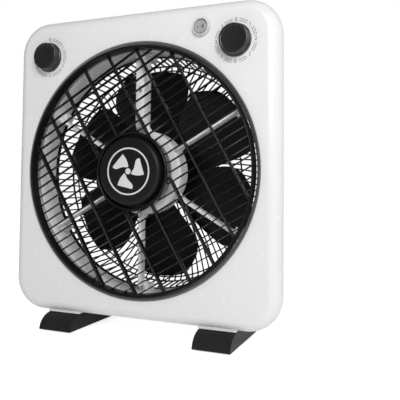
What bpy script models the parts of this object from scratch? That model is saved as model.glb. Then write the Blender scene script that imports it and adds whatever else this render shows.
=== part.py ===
"""Box fan: a 12 inch table fan in a square case, with a rotating louvre in front of the blades.

Frame: metres, +Z up, +X to the right as the front is seen, the front faces -Y. The origin is at
the bottom centre of the fan's box. Every dimension below is in millimetres and is scaled to metres
when a mesh is made. Depths are measured from the case's front face, towards the rear.
"""

import math

import bmesh
import bpy
from mathutils import Matrix, Vector

MM = 0.001

# Overall size
TOTAL_HEIGHT = 405.0
CASE_HEIGHT = 382.0
CASE_WIDTH_TOP = 355.0
CASE_WIDTH_BOTTOM = 369.5
FACE_DEPTH = -40.0            # the front face's place along Y, which centres the whole box on Y
CORNER_RADIUS = 42.0
EDGE_INSET = 15.0             # rounding between the face and the sides, across the face
EDGE_DEPTH = 17.0             # the same rounding, along the sides
SEAM_INSET = 5.0              # the sides lean in behind the rounding
REAR_INSET = 6.4
WALL = 2.6
GAP = 0.3                     # clearance between pieces that touch
HEX_FLAT = math.cos(math.radians(30))    # flat over corner radius of a six-sided hole
FACET_PHASE = 7.0             # degrees, so that a round cutter's corners miss its neighbours' corners
BORE_PHASE = 1.3              # degrees, the same for the front opening's large facets
CORNER_STEPS = 4              # facets of each corner of the case
ROUND = 48                    # facets of the large circles

CASE_BOTTOM = TOTAL_HEIGHT - CASE_HEIGHT
CASE_MIDDLE = CASE_BOTTOM + CASE_HEIGHT / 2
AXIS_HEIGHT = CASE_MIDDLE - 6.8

# Depths behind the front face
SEAM = 36.0
REAR_WALL = 50.0
DUCT_END = 48.0
DRUM_END = 89.5
HOUSING_FRONT = 20.0
HOUSING_REAR = 42.5

# Front opening and duct
OPENING_RADIUS = 159.8
POCKET_RADIUS = 154.4
DUCT_RADIUS = 151.3
DUCT_OUTER = 154.0

# Louvre
LOUVRE_RADIUS = 153.0
LOUVRE_RIM = 150.0
LOUVRE_REACH = 151.5          # of the slats and ribs, into the ring
LOUVRE_ANGLE = 30.0
FIN_PITCH = 11.0
FIN_COUNT = 25
FIN_OFFSET = -1.7
FIN_THICKNESS = 1.2
RIB_PITCH = 36.9
RIB_COUNT = 7
RIB_THICKNESS = 2.2
HUB_RADIUS = 48.7
HUB_REAR_RADIUS = 45.8        # the hub narrows towards the rear
CAP_RADIUS = 41.6
CAP_FRONT = -16.0

# Spider and its housing
HOUSING_RADIUS = 53.0
ARM_ANGLES = (90, 30, -30, -90, -150, 150)
ARM_END = 149.4
RIB_FRONT = 15.0
RIB_REAR = 28.0
RIB_HALF = 1.9                # half the width of a plain arm
RIB_END = 143.0
TOP_ARM_FRONT = 11.0
TOP_ARM_HALF = 5.75
ARM_ROOT = 50.8               # inside the housing's wall
ARM_SEAT = 27.0               # front of the foot at the end of each arm
ARM_REAR = 31.0
SCREWED_ARMS = (30, -90, 150)
SPIDER_SCREW_RADIUS = 147.0

# Impeller
BLADE_COUNT = 6
BLADE_PHASE = 32.6
BLADE_TIP = 137.5
IMPELLER_HUB = 44.0
LEAD_DEPTH = 80.0             # of a blade's leading edge, the rear one
TRAIL_DEPTH_ROOT = 65.0

# Motor
STATOR_RADIUS = 43.6
ROTOR_RADIUS = 22.0
SHAFT_RADIUS = 4.0
MOTOR_SCREW_RADIUS = 41.0

# Rear grille
GRILLE_BARS = 32
BAR_WIDTH = 2.6

# Controls, on the face
DIAL_X = 127.7
DIAL_HEIGHT = CASE_MIDDLE + 142.3
KNOB_RADIUS = 17.2
KNOB_SKIRT = 18.8              # radius of the flange at the knob's foot
KNOB_FRONT = -11.8
ROCKER_X = 85.7
ROCKER_HEIGHT = CASE_MIDDLE + 161.2
ROCKER_REST = 9.0             # degrees that the rocker stands tipped at rest

# Feet
FOOT_X = 107.5
FOOT_WIDTH = 47.0
FOOT_TOP = CASE_BOTTOM - 1.8
FOOT_FRONT = -12.0
FOOT_REAR = 96.0
PAD_HEIGHT = 1.5
PAD_DEPTHS = (6.0, 84.0)
FOOT_SCREW_DEPTHS = (20.0, 40.0)
FOOT_SCREW_SEAT = 15.7
PLINTH_HALF_WIDTH = 23.5

# Fasteners
CASE_SCREW_PLACES = ((-150, 163), (150, 163), (-156, -160), (156, -160))
GRILLE_SCREW_RADIUS = 158.6
DIAGONALS = (45, 135, 225, 315)
SHANK_RADIUS = 1.45

# Cord gland, through the rear case
GLAND_X = 150.0
GLAND_HEIGHT = CASE_MIDDLE - 136.0
GLAND_RADIUS = 5.3


def clear_scene():
    for item in list(bpy.data.objects):
        bpy.data.objects.remove(item, do_unlink=True)


def make_material(name, colour, roughness, metallic=0.0):
    material = bpy.data.materials.new(name)
    material.use_nodes = True
    shader = material.node_tree.nodes["Principled BSDF"]
    shader.inputs["Base Color"].default_value = (*colour, 1.0)
    shader.inputs["Roughness"].default_value = roughness
    shader.inputs["Metallic"].default_value = metallic
    return material


# ---------------------------------------------------------------- mesh helpers

def place(x, depth, height):
    """A point in metres from the width, the depth behind the face and the height above the floor."""
    return Vector((x, FACE_DEPTH + depth, height)) * MM


def add_object(name, bm, material, pivot=None, smooth=35.0):
    """Turn a bmesh into an object. A pivot moves the object's origin there and keeps the shape."""
    bmesh.ops.recalc_face_normals(bm, faces=bm.faces)
    if pivot is not None:
        bmesh.ops.translate(bm, verts=bm.verts, vec=-pivot)
    mesh = bpy.data.meshes.new(name)
    bm.to_mesh(mesh)
    bm.free()
    mesh.shade_smooth()
    mesh.set_sharp_from_angle(angle=math.radians(smooth))
    mesh.materials.append(material)
    obj = bpy.data.objects.new(name, mesh)
    if pivot is not None:
        obj.location = pivot
    bpy.context.collection.objects.link(obj)
    return obj


def turned_mesh(profile, segments, x=0.0, height=AXIS_HEIGHT, phase=0.0):
    """Revolve (radius, depth) points about an axis along Y. Ends at radius 0 become poles.
    The phase, in degrees, turns the facets about the axis."""
    bm = bmesh.new()
    rings = []
    for radius, depth in profile:
        if radius == 0:
            rings.append([bm.verts.new(place(x, depth, height))] * segments)
            continue
        ring = []
        for step in range(segments):
            angle = 2 * math.pi * step / segments + math.radians(phase)
            across = x + radius * math.cos(angle)
            ring.append(bm.verts.new(place(across, depth, height + radius * math.sin(angle))))
        rings.append(ring)
    pairs = list(zip(rings, rings[1:]))
    if profile[0][0] != 0:
        pairs.append((rings[-1], rings[0]))
    for first, second in pairs:
        for step in range(segments):
            after = (step + 1) % segments
            corners = [first[step], first[after], second[after], second[step]]
            corners = list(dict.fromkeys(corners))
            if len(corners) > 2:
                bm.faces.new(corners)
    return bm


def turned(name, profile, material, segments=32, x=0.0, height=AXIS_HEIGHT, pivot=None, phase=0.0):
    return add_object(name, turned_mesh(profile, segments, x, height, phase), material, pivot)


def prism_mesh(outline, low, high, to_point):
    """Extrude an outline of (u, v) points from low to high; to_point(u, v, w) gives the place."""
    bm = bmesh.new()
    start = [bm.verts.new(to_point(u, v, low)) for u, v in outline]
    end = [bm.verts.new(to_point(u, v, high)) for u, v in outline]
    bm.faces.new(start)
    bm.faces.new(end)
    for index in range(len(outline)):
        after = (index + 1) % len(outline)
        bm.faces.new((start[index], start[after], end[after], end[index]))
    return bm


def along_depth(u, v, w):
    return place(u, w, v)


def along_width(u, v, w):
    return place(w, u, v)


def rectangle(u0, u1, v0, v1):
    return [(u0, v0), (u1, v0), (u1, v1), (u0, v1)]


def box(name, x0, x1, depth0, depth1, z0, z1, material=None):
    return add_object(name, prism_mesh(rectangle(x0, x1, z0, z1), depth0, depth1, along_depth), material)


def rounded_box(name, x0, x1, depth0, depth1, z0, z1, radius, material):
    centres = ((x1 - radius, z1 - radius), (x0 + radius, z1 - radius),
               (x0 + radius, z0 + radius), (x1 - radius, z0 + radius))
    outline = []
    for quarter, (cx, cz) in enumerate(centres):
        for step in range(4):
            angle = math.radians(90 * quarter + 30 * step)
            outline.append((cx + radius * math.cos(angle), cz + radius * math.sin(angle)))
    return add_object(name, prism_mesh(outline, depth0, depth1, along_depth), material)


def radial_bar_mesh(angle, start, end, width_start, width_end, depth0, depth1):
    """A straight bar that runs outward from the axis at an angle, in degrees."""
    turn = Matrix.Rotation(math.radians(angle), 2)
    root = width_start / 2
    tip = width_end / 2
    corners = ((start, -root), (end, -tip), (end, tip), (start, root))
    outline = [turn @ Vector(corner) for corner in corners]
    outline = [(point.x, point.y + AXIS_HEIGHT) for point in outline]
    return prism_mesh(outline, depth0, depth1, along_depth)


def on_circle(radius, angle):
    """X and height of a point on a circle about the fan's axis."""
    turn = math.radians(angle)
    return radius * math.cos(turn), AXIS_HEIGHT + radius * math.sin(turn)


def arc(centre_u, centre_v, radius_u, radius_v, start, end, steps):
    """Points of an elliptical arc, in degrees, both ends included."""
    points = []
    for step in range(steps + 1):
        angle = math.radians(start + (end - start) * step / steps)
        points.append((centre_u + radius_u * math.cos(angle), centre_v + radius_v * math.sin(angle)))
    return points


def combine(target, others, operation):
    """Apply Booleans to the target with each other object, and remove those objects."""
    for other in others:
        modifier = target.modifiers.new(operation, "BOOLEAN")
        modifier.operation = operation
        modifier.object = other
        modifier.solver = "EXACT"
        depsgraph = bpy.context.evaluated_depsgraph_get()
        depsgraph.update()
        mesh = bpy.data.meshes.new_from_object(target.evaluated_get(depsgraph))
        target.modifiers.clear()
        old = target.data
        target.data = mesh
        mesh.name = target.name
        bpy.data.meshes.remove(old)
        bpy.data.objects.remove(other, do_unlink=True)


def tidy(target, smooth=35.0):
    """Merge what a Boolean leaves doubled and mark the sharp edges again."""
    bm = bmesh.new()
    bm.from_mesh(target.data)
    bmesh.ops.remove_doubles(bm, verts=bm.verts, dist=0.00001)
    bmesh.ops.dissolve_limit(bm, angle_limit=math.radians(0.05), verts=bm.verts, edges=bm.edges)
    bm.to_mesh(target.data)
    bm.free()
    target.data.shade_smooth()
    target.data.set_sharp_from_angle(angle=math.radians(smooth))


# ---------------------------------------------------------------- case

def case_loop(inset):
    """The case's outline at an inset from its sides: a rounded rectangle, a little wider below."""
    radius = CORNER_RADIUS - inset
    low = CASE_BOTTOM + inset
    high = TOTAL_HEIGHT - inset

    def half_width(height):
        share = (height - CASE_BOTTOM) / CASE_HEIGHT
        return (CASE_WIDTH_BOTTOM + (CASE_WIDTH_TOP - CASE_WIDTH_BOTTOM) * share) / 2 - inset

    upper = high - radius
    lower = low + radius
    loop = arc(half_width(upper) - radius, upper, radius, radius, 0, 90, CORNER_STEPS)
    loop += arc(radius - half_width(upper), upper, radius, radius, 90, 180, CORNER_STEPS)
    loop += arc(radius - half_width(lower), lower, radius, radius, 180, 270, CORNER_STEPS)
    loop += arc(half_width(lower) - radius, lower, radius, radius, 270, 360, CORNER_STEPS)
    return loop


def case_loft(name, path, material=None):
    """Skin the case's outlines along a path of (inset, depth) points, closed at both ends."""
    bm = bmesh.new()
    loops = []
    for inset, depth in path:
        loops.append([bm.verts.new(place(x, depth, height)) for x, height in case_loop(inset)])
    count = len(loops[0])
    for first, second in zip(loops, loops[1:]):
        for index in range(count):
            after = (index + 1) % count
            bm.faces.new((first[index], first[after], second[after], second[index]))
    bm.faces.new(loops[0])
    bm.faces.new(loops[-1])
    return add_object(name, bm, material)


def cylinder(radius, depth0, depth1, x, height, segments=16):
    profile = [(0, depth0), (radius, depth0), (radius, depth1), (0, depth1)]
    return turned("cutter", profile, None, segments, x, height, phase=FACET_PHASE)


def case_screw_points():
    return [(x, CASE_MIDDLE + z) for x, z in CASE_SCREW_PLACES]


def make_front_case(plastic):
    edge = arc(EDGE_INSET, EDGE_DEPTH, EDGE_INSET, EDGE_DEPTH, 180, 270, 4)
    inner_edge = arc(EDGE_INSET, EDGE_DEPTH, EDGE_INSET - WALL, EDGE_DEPTH - WALL, 180, 270, 3)
    case = case_loft("front_case", [(SEAM_INSET, SEAM)] + edge, plastic)
    combine(case, [case_loft("cutter", [(SEAM_INSET + WALL, SEAM + 1)] + inner_edge)], "DIFFERENCE")
    duct = [(0, 1.2), (163, 1.2), (163, 4), (159, 8), (159, 14), (DUCT_OUTER, 18), (DUCT_OUTER, DUCT_END),
            (0, DUCT_END)]
    posts = [cylinder(4.2, 1.2, SEAM - 0.5, x, z, 10) for x, z in case_screw_points()]
    side_view = [(8, FOOT_TOP + GAP), (SEAM - 1, FOOT_TOP + GAP), (SEAM - 1, CASE_BOTTOM + 6),
                 (EDGE_DEPTH, CASE_BOTTOM + 1.3), (8, CASE_BOTTOM + 3.6)]
    plinths = [add_object("plinth", prism_mesh(side_view, centre - PLINTH_HALF_WIDTH,
                                               centre + PLINTH_HALF_WIDTH, along_width), None)
               for centre in (-FOOT_X, FOOT_X)]
    combine(case, [turned("duct", duct, None, ROUND)] + posts + plinths, "UNION")
    bore = [(0, -1), (161, -1), (OPENING_RADIUS, 0), (POCKET_RADIUS, 5.4),
            (POCKET_RADIUS, 12.5), (DUCT_RADIUS, 14.5), (DUCT_RADIUS, DUCT_END + 1), (0, DUCT_END + 1)]
    combine(case, [turned("bore", bore, None, ROUND, phase=BORE_PHASE)], "DIFFERENCE")
    ledges = []
    for angle in ARM_ANGLES:
        ledge = radial_bar_mesh(angle, 142, 152.6, 13, 13, ARM_REAR + GAP, 46)
        ledges.append(add_object("ledge", ledge, None))
    combine(case, ledges, "UNION")
    holes = [cylinder(5.5, -1, 4, side * DIAL_X, DIAL_HEIGHT) for side in (-1, 1)]
    holes.append(cylinder(10.3, -1, 4, ROCKER_X, ROCKER_HEIGHT, 24))
    holes += [cylinder(1.8, 18, SEAM + 1, x, z, 8) for x, z in case_screw_points()]
    for angle in SCREWED_ARMS:
        holes.append(cylinder(1.5, ARM_REAR - 1, 45, *on_circle(SPIDER_SCREW_RADIUS, angle), 8))
    wire_hole = prism_mesh(rectangle(-4, 4, 24, 32), AXIS_HEIGHT + 140, AXIS_HEIGHT + 156, place)
    holes.append(add_object("cutter", wire_hole, None))
    combine(case, holes, "DIFFERENCE")
    tidy(case)


def make_rear_case(plastic):
    start = SEAM + GAP
    outer = [(SEAM_INSET + 0.6, start), (REAR_INSET, 39)]
    outer += arc(REAR_INSET + 11, 39, 11, REAR_WALL - 39, 180, 90, 3)[1:]
    inner_reach = REAR_WALL - WALL - 39
    inner = [(SEAM_INSET + 0.6 + WALL, start - 1), (REAR_INSET + WALL, 39)]
    inner += arc(REAR_INSET + 11, 39, 11 - WALL, inner_reach, 180, 90, 2)[1:]
    case = case_loft("rear_case", outer, plastic)
    combine(case, [case_loft("cutter", inner)], "DIFFERENCE")
    plinths = [box("plinth", sign * FOOT_X - 22, sign * FOOT_X + 22, SEAM + 2, 43, FOOT_TOP + GAP,
                   CASE_BOTTOM + 8) for sign in (-1, 1)]
    combine(case, plinths, "UNION")
    holes = [cylinder(155.2, 30, 60, 0, AXIS_HEIGHT, ROUND)]
    holes += [cylinder(2.0, 40, 60, x, z, 8) for x, z in case_screw_points()]
    holes += [cylinder(1.9, 40, 60, *on_circle(GRILLE_SCREW_RADIUS, angle), 8) for angle in DIAGONALS]
    holes.append(cylinder(GLAND_RADIUS + GAP, 40, 60, GLAND_X, GLAND_HEIGHT))
    combine(case, holes, "DIFFERENCE")
    tidy(case)


# ---------------------------------------------------------------- louvre

def bar_across(angle, offset, reach, thickness, depth0, depth1):
    """A straight bar through the louvre at an angle, beside the axis by an offset."""
    half = math.sqrt(reach * reach - offset * offset)
    turn = Matrix.Rotation(math.radians(angle), 2)
    corners = ((-half, offset - thickness / 2), (half, offset - thickness / 2),
               (half, offset + thickness / 2), (-half, offset + thickness / 2))
    outline = [turn @ Vector(corner) for corner in corners]
    outline = [(point.x, point.y + AXIS_HEIGHT) for point in outline]
    return prism_mesh(outline, depth0, depth1, along_depth)


def joined(name, pieces):
    """One object from several overlapping meshes, still to be united with a target."""
    whole = bmesh.new()
    for piece in pieces:
        mesh = bpy.data.meshes.new("piece")
        bmesh.ops.recalc_face_normals(piece, faces=piece.faces)
        piece.to_mesh(mesh)
        piece.free()
        whole.from_mesh(mesh)
        bpy.data.meshes.remove(mesh)
    return add_object(name, whole, None)


def make_louvre(plastic, dark_plastic, steel):
    axis = place(0, 0, AXIS_HEIGHT)
    ring = [(LOUVRE_RADIUS, 6.4), (LOUVRE_RADIUS, -4.4), (LOUVRE_RADIUS - 1, -6.5), (LOUVRE_RIM + 1, -6.5),
            (LOUVRE_RIM, -4.6), (LOUVRE_RIM, 6.4)]
    grille = turned("louvre_grille", ring, plastic, ROUND)
    fins = []
    for index in range(FIN_COUNT):
        offset = FIN_OFFSET + FIN_PITCH * (index - (FIN_COUNT - 1) / 2)
        fins.append(bar_across(LOUVRE_ANGLE, offset, LOUVRE_REACH, FIN_THICKNESS, 0.8, 6.0))
    ribs = []
    for index in range(RIB_COUNT):
        offset = RIB_PITCH * (index - (RIB_COUNT - 1) / 2)
        ribs.append(bar_across(LOUVRE_ANGLE - 90, offset, LOUVRE_REACH, RIB_THICKNESS, -0.6, 7.2))
    combine(grille, [joined("ribs", ribs), joined("fins", fins)], "UNION")
    combine(grille, [cylinder(HUB_REAR_RADIUS - 1.2, -2, 10, 0, AXIS_HEIGHT, 32)], "DIFFERENCE")
    inner = HUB_REAR_RADIUS - 2.4
    hub = [(HUB_REAR_RADIUS, 9), (HUB_RADIUS, -9.4), (47.4, -11), (45.2, -11), (45.2, -0.8), (8, -0.8),
           (8, -5), (3.5, -5), (3.5, 9), (8, 9), (8, 2), (inner, 2), (inner, 9)]
    combine(grille, [turned("hub", hub, None, 32)], "UNION")
    tidy(grille)
    cap = [(0, CAP_FRONT), (36.5, CAP_FRONT + 0.4), (40, -14.2), (CAP_RADIUS, -11.6),
           (CAP_RADIUS, -1.2), (39.6, -1.2), (39.2, -12.6), (0, -13.6)]
    turned("louvre_hub_cap", cap, dark_plastic, 32, pivot=axis)
    shaft = [(0, -9), (3, -9), (3, 34), (0, 34)]
    turned("louvre_drive_shaft", shaft, steel, 12, pivot=axis)
    bore = 3.3 / HEX_FLAT
    nut = [(bore, -8.6), (7.0, -8.6), (7.0, -5.3), (bore, -5.3)]
    turned("louvre_retaining_nut", nut, steel, 6, pivot=axis)
    move_origin(grille, axis)


def move_origin(target, pivot):
    target.data.transform(Matrix.Translation(-pivot))
    target.location = pivot


# ---------------------------------------------------------------- spider

def rib_mesh(angle, side_view, half_width):
    """A bar that runs outward from the axis at an angle: its (radius, depth) side view, made wide."""
    turn = Matrix.Rotation(math.radians(angle), 2)

    def to_point(radius, depth, across):
        point = turn @ Vector((radius, across))
        return place(point.x, depth, AXIS_HEIGHT + point.y)

    return prism_mesh(side_view, -half_width, half_width, to_point)


def make_spider(plastic):
    inner = HOUSING_RADIUS - WALL
    housing = [(HOUSING_RADIUS, HOUSING_REAR), (HOUSING_RADIUS, HOUSING_FRONT + 4),
               (HOUSING_RADIUS - 1.2, HOUSING_FRONT + 1.2), (HOUSING_RADIUS - 4, HOUSING_FRONT),
               (6, HOUSING_FRONT), (6, HOUSING_FRONT + WALL), (inner, HOUSING_FRONT + WALL),
               (inner, HOUSING_REAR)]
    spider = turned("motor_spider", housing, plastic, 40)
    arms = []
    for angle in ARM_ANGLES:
        if angle == 90:
            side_view = [(ARM_ROOT, HOUSING_FRONT + 1.5), (60, TOP_ARM_FRONT), (ARM_END, TOP_ARM_FRONT),
                         (ARM_END, ARM_REAR), (ARM_ROOT, ARM_REAR)]
            half_width, root = TOP_ARM_HALF, 13
        else:
            side_view = [(ARM_ROOT, HOUSING_FRONT + 1.5), (60, RIB_FRONT), (RIB_END, RIB_FRONT),
                         (RIB_END, RIB_REAR), (ARM_ROOT, RIB_REAR)]
            half_width, root = RIB_HALF, 8
            arms.append(radial_bar_mesh(angle, RIB_END - 4, ARM_END, 12, 12, ARM_SEAT, ARM_REAR))
        arms.append(rib_mesh(angle, side_view, half_width))
        arms.append(radial_bar_mesh(angle, ARM_ROOT + 0.4, 69, 2 * root, 2 * half_width - 0.6,
                                    HOUSING_FRONT + 2.2, RIB_REAR - 0.7))
    for arm in arms:
        combine(spider, [joined("arm", [arm])], "UNION")
    posts = []
    for angle in DIAGONALS:
        x, height = on_circle(MOTOR_SCREW_RADIUS, angle)
        posts.append(cylinder(2.7, HOUSING_FRONT + 1, 50, x, height, 10))
    combine(spider, posts, "UNION")
    holes = [cylinder(1.6, 36, 51, *on_circle(MOTOR_SCREW_RADIUS, angle), 8) for angle in DIAGONALS]
    holes += [cylinder(1.6, ARM_SEAT - 1, ARM_REAR + 1, *on_circle(SPIDER_SCREW_RADIUS, angle), 8)
              for angle in SCREWED_ARMS]
    for low, high, front in ((62, 152, TOP_ARM_FRONT + WALL), (48, 64, 24)):
        channel = prism_mesh(rectangle(-3.6, 3.6, front, ARM_REAR + 1), AXIS_HEIGHT + low,
                             AXIS_HEIGHT + high, place)
        holes.append(add_object("cutter", channel, None))
    slot_height = AXIS_HEIGHT + 103
    holes.append(box("cutter", -1.6, 2.4, TOP_ARM_FRONT - 1, 20, slot_height - 4, slot_height + 4))
    combine(spider, holes, "DIFFERENCE")
    tidy(spider)


# ---------------------------------------------------------------- impeller

def blade_mesh(angle):
    """One twisted blade: a grid from root to tip and from leading to trailing edge, with a thickness."""
    radial_steps = 5
    chord_steps = 4
    layers = []
    bm = bmesh.new()
    for side in (-1, 1):
        grid = []
        for i in range(radial_steps + 1):
            share = i / radial_steps
            leading = -33 + 14 * share ** 0.6
            trailing = 28 + 5.5 * math.sin(math.pi * share * 0.9) - 8 * share ** 5
            row = []
            for j in range(chord_steps + 1):
                chord = j / chord_steps
                corner = abs(2 * chord - 1) ** 7 * 9 * share ** 6
                radius = IMPELLER_HUB - 1.2 + (BLADE_TIP - IMPELLER_HUB + 1.2) * share - corner
                turn = math.radians(angle + leading + (trailing - leading) * chord)
                trail_depth = TRAIL_DEPTH_ROOT - 8.5 * share
                camber = 3.2 * math.sin(math.pi * chord)
                thickness = (1.3 - 0.5 * share) * (0.45 + 0.55 * math.sin(math.pi * (0.06 + 0.88 * chord)))
                depth = LEAD_DEPTH + (trail_depth - LEAD_DEPTH) * chord + camber + side * thickness
                height = AXIS_HEIGHT + radius * math.sin(turn)
                row.append(bm.verts.new(place(radius * math.cos(turn), depth, height)))
            grid.append(row)
        layers.append(grid)
    front, back = layers
    for i in range(radial_steps):
        for j in range(chord_steps):
            bm.faces.new((front[i][j], front[i + 1][j], front[i + 1][j + 1], front[i][j + 1]))
            bm.faces.new((back[i][j], back[i][j + 1], back[i + 1][j + 1], back[i + 1][j]))
    border = [(i, 0) for i in range(radial_steps)]
    border += [(radial_steps, j) for j in range(chord_steps)]
    border += [(i, chord_steps) for i in range(radial_steps, 0, -1)]
    border += [(0, j) for j in range(chord_steps, 0, -1)]
    for (i, j), (k, m) in zip(border, border[1:] + border[:1]):
        bm.faces.new((front[i][j], front[k][m], back[k][m], back[i][j]))
    return bm


def make_impeller(plastic, steel):
    hub = [(IMPELLER_HUB, 63.4), (IMPELLER_HUB, 81), (IMPELLER_HUB - 2, 83), (0, 83)]
    impeller = turned("impeller", [(0, 63.4)] + hub, plastic, 32)
    blades = [blade_mesh(BLADE_PHASE + 360 / BLADE_COUNT * index) for index in range(BLADE_COUNT)]
    combine(impeller, [joined("blades", blades)], "UNION")
    cup = [(0, 55), (IMPELLER_HUB - 2.4, 55), (IMPELLER_HUB - 2.4, 80.4), (9, 80.4), (9, 72), (0, 72)]
    bore = [(0, 70), (SHAFT_RADIUS + 0.35, 70), (SHAFT_RADIUS + 0.35, 90), (0, 90)]
    cutters = [turned("cup", cup, None, 32), turned("bore", bore, None, 12)]
    combine(impeller, cutters, "DIFFERENCE")
    tidy(impeller, 50)
    axis = place(0, 0, AXIS_HEIGHT)
    move_origin(impeller, axis)
    bore = (SHAFT_RADIUS + GAP) / HEX_FLAT
    nut = [(bore, 83.3), (8.5, 83.3), (8.5, 85.6), (bore, 85.6)]
    turned("impeller_lock_nut", nut, steel, 6, pivot=axis)


# ---------------------------------------------------------------- motor

def make_motor(aluminium, steel, laminations, copper):
    axis = place(0, 0, AXIS_HEIGHT)
    shaft = [(0, 43), (SHAFT_RADIUS - 0.3, 43), (SHAFT_RADIUS, 43.6), (SHAFT_RADIUS, 85), (0, 85)]
    turned("motor_shaft", shaft, steel, 12, pivot=axis)
    bore = SHAFT_RADIUS + GAP
    rotor = [(ROTOR_RADIUS, 49.5), (ROTOR_RADIUS, 60.5), (bore, 60.5), (bore, 49.5)]
    turned("motor_rotor", rotor, laminations, 24, pivot=axis)
    stack = [(STATOR_RADIUS, 50.3), (STATOR_RADIUS, 59.7), (22.6, 59.7), (22.6, 50.3)]
    stator = turned("motor_stator", stack, laminations, 32)
    combine(stator, [cylinder(1.8, 49, 61, *on_circle(MOTOR_SCREW_RADIUS, angle), 8)
                     for angle in DIAGONALS], "DIFFERENCE")
    tidy(stator)
    for name, depth0, depth1 in (("motor_front_winding", 45.2, 50.0), ("motor_rear_winding", 60.0, 64.6)):
        middle = (depth0 + depth1) / 2
        coil = arc(29.3, middle, 5.6, (depth1 - depth0) / 2, 0, 300, 5)
        turned(name, coil, copper, 24)
    front = [(37.9, 50), (37.9, 43.5), (35.9, 42), (5, 42), (5, 42.6), (7.7, 42.6), (7.7, 47.4), (10, 47.4),
             (10, 44), (35.5, 44), (35.5, 50)]
    turned("motor_front_bell", front, aluminium, 24)
    rear = [(37.9, 60), (37.9, 68.5), (35.9, 70), (5, 70), (5, 69.4), (7.7, 69.4), (7.7, 64.8), (10, 64.8),
            (10, 68), (35.5, 68), (35.5, 60)]
    turned("motor_rear_bell", rear, aluminium, 24)
    for name, depth in (("motor_front_bearing", 42.9), ("motor_rear_bearing", 64.9)):
        race = [(7.4, depth), (7.4, depth + 4.2), (bore, depth + 4.2), (bore, depth)]
        turned(name, race, steel, 16)
    for index, angle in enumerate(DIAGONALS):
        screw(f"motor_screw_{index + 1}", steel, *on_circle(MOTOR_SCREW_RADIUS, angle), 60.0, 40.0, 2.6, 1.25)
    seat = HOUSING_FRONT + WALL + GAP
    gearbox = [(0, 40.5), (24, 40.5), (25, 39.5), (25, seat), (5.4, seat), (5.4, HOUSING_FRONT - 0.5),
               (3.4, HOUSING_FRONT - 0.5), (3.4, 35), (0, 35)]
    turned("louvre_gearmotor", gearbox, aluminium, 24)


def screw(name, material, x, height, seat, tip, head_radius=3.2, shank_radius=SHANK_RADIUS):
    """A pan head screw along Y: the head stands on its seat, away from the tip."""
    head = 2.1 if seat > tip else -2.1
    clear = GAP if seat > tip else -GAP
    under = seat + clear
    profile = [(0, under + head), (head_radius, under + head * 0.7), (head_radius, under),
               (shank_radius, under), (shank_radius, tip), (0, tip)]
    return turned(name, profile, material, 8, x, height)


# ---------------------------------------------------------------- rear grille

def grille_stations():
    """Outer and inner points of the grille's wall, from the flange to the middle, and what follows each:
    a solid ring, bars at every place, at every second place, or at every fourth."""
    return [
        (163.0, 50.3, 163.0, 53.3, "ring"),
        (150.6, 50.3, 150.9, 53.3, "ring"),
        (148.0, 52.4, 150.6, 55.0, "bars"),
        (144.9, 82.0, 147.7, 84.0, "ring"),
        (142.4, 86.2, 144.6, DRUM_END - 0.4, "bars"),
        (111.0, 86.6, 111.0, DRUM_END, "ring"),
        (108.4, 86.6, 108.4, DRUM_END, "half"),
        (42.0, 86.6, 42.0, DRUM_END, "ring"),
        (36.0, 86.6, 36.0, DRUM_END, "end"),
    ]


def make_rear_grille(plastic):
    bm = bmesh.new()
    stations = grille_stations()
    inner = []
    outer = []
    for r_in, d_in, r_out, d_out, _ in stations:
        twist = 14.0 * (1 - r_in / 150.0)
        rows = ([], [])
        for index in range(GRILLE_BARS):
            for edge in (-1, 1):
                half = math.degrees(BAR_WIDTH / 2 / max(r_in, 50))
                angle = 360 / GRILLE_BARS * index + twist + edge * half
                for row, radius, depth in ((rows[0], r_in, d_in), (rows[1], r_out, d_out)):
                    x, height = on_circle(radius, angle)
                    row.append(bm.verts.new(place(x, depth, height)))
        inner.append(rows[0])
        outer.append(rows[1])
    count = 2 * GRILLE_BARS

    def filled(zone, span):
        bar, is_gap = divmod(span, 2)
        if zone == "ring":
            return True
        if is_gap or zone == "end" or zone == "start":
            return False
        return zone == "bars" or bar % 2 == 0

    zones = [station[4] for station in stations]
    for place_index in range(len(stations) - 1):
        zone = zones[place_index]
        for span in range(count):
            if not filled(zone, span):
                continue
            after = (span + 1) % count
            for rows in (inner, outer):
                bm.faces.new((rows[place_index][span], rows[place_index][after],
                              rows[place_index + 1][after], rows[place_index + 1][span]))
            if zone != "ring":
                for edge in (span, after):
                    bm.faces.new((inner[place_index][edge], inner[place_index + 1][edge],
                                  outer[place_index + 1][edge], outer[place_index][edge]))
    before = ["start"] + zones[:-1]
    for index, (previous, zone) in enumerate(zip(before, zones)):
        for span in range(count):
            if filled(previous, span) != filled(zone, span):
                after = (span + 1) % count
                bm.faces.new((inner[index][span], inner[index][after],
                              outer[index][after], outer[index][span]))
    loose = [vert for vert in bm.verts if not vert.link_faces]
    bmesh.ops.delete(bm, geom=loose, context="VERTS")
    grille = add_object("rear_grille", bm, plastic)
    centre = [(0, 85.9), (38, 85.9), (39, 86.2), (39, DRUM_END - 0.6), (37, DRUM_END + 0.6),
              (0, DRUM_END + 1.2)]
    combine(grille, [turned("centre", centre, None, 32)], "UNION")
    combine(grille, [cylinder(1.9, 49, 55, *on_circle(GRILLE_SCREW_RADIUS, angle), 8)
                     for angle in DIAGONALS], "DIFFERENCE")
    tidy(grille)


# ---------------------------------------------------------------- controls

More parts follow.
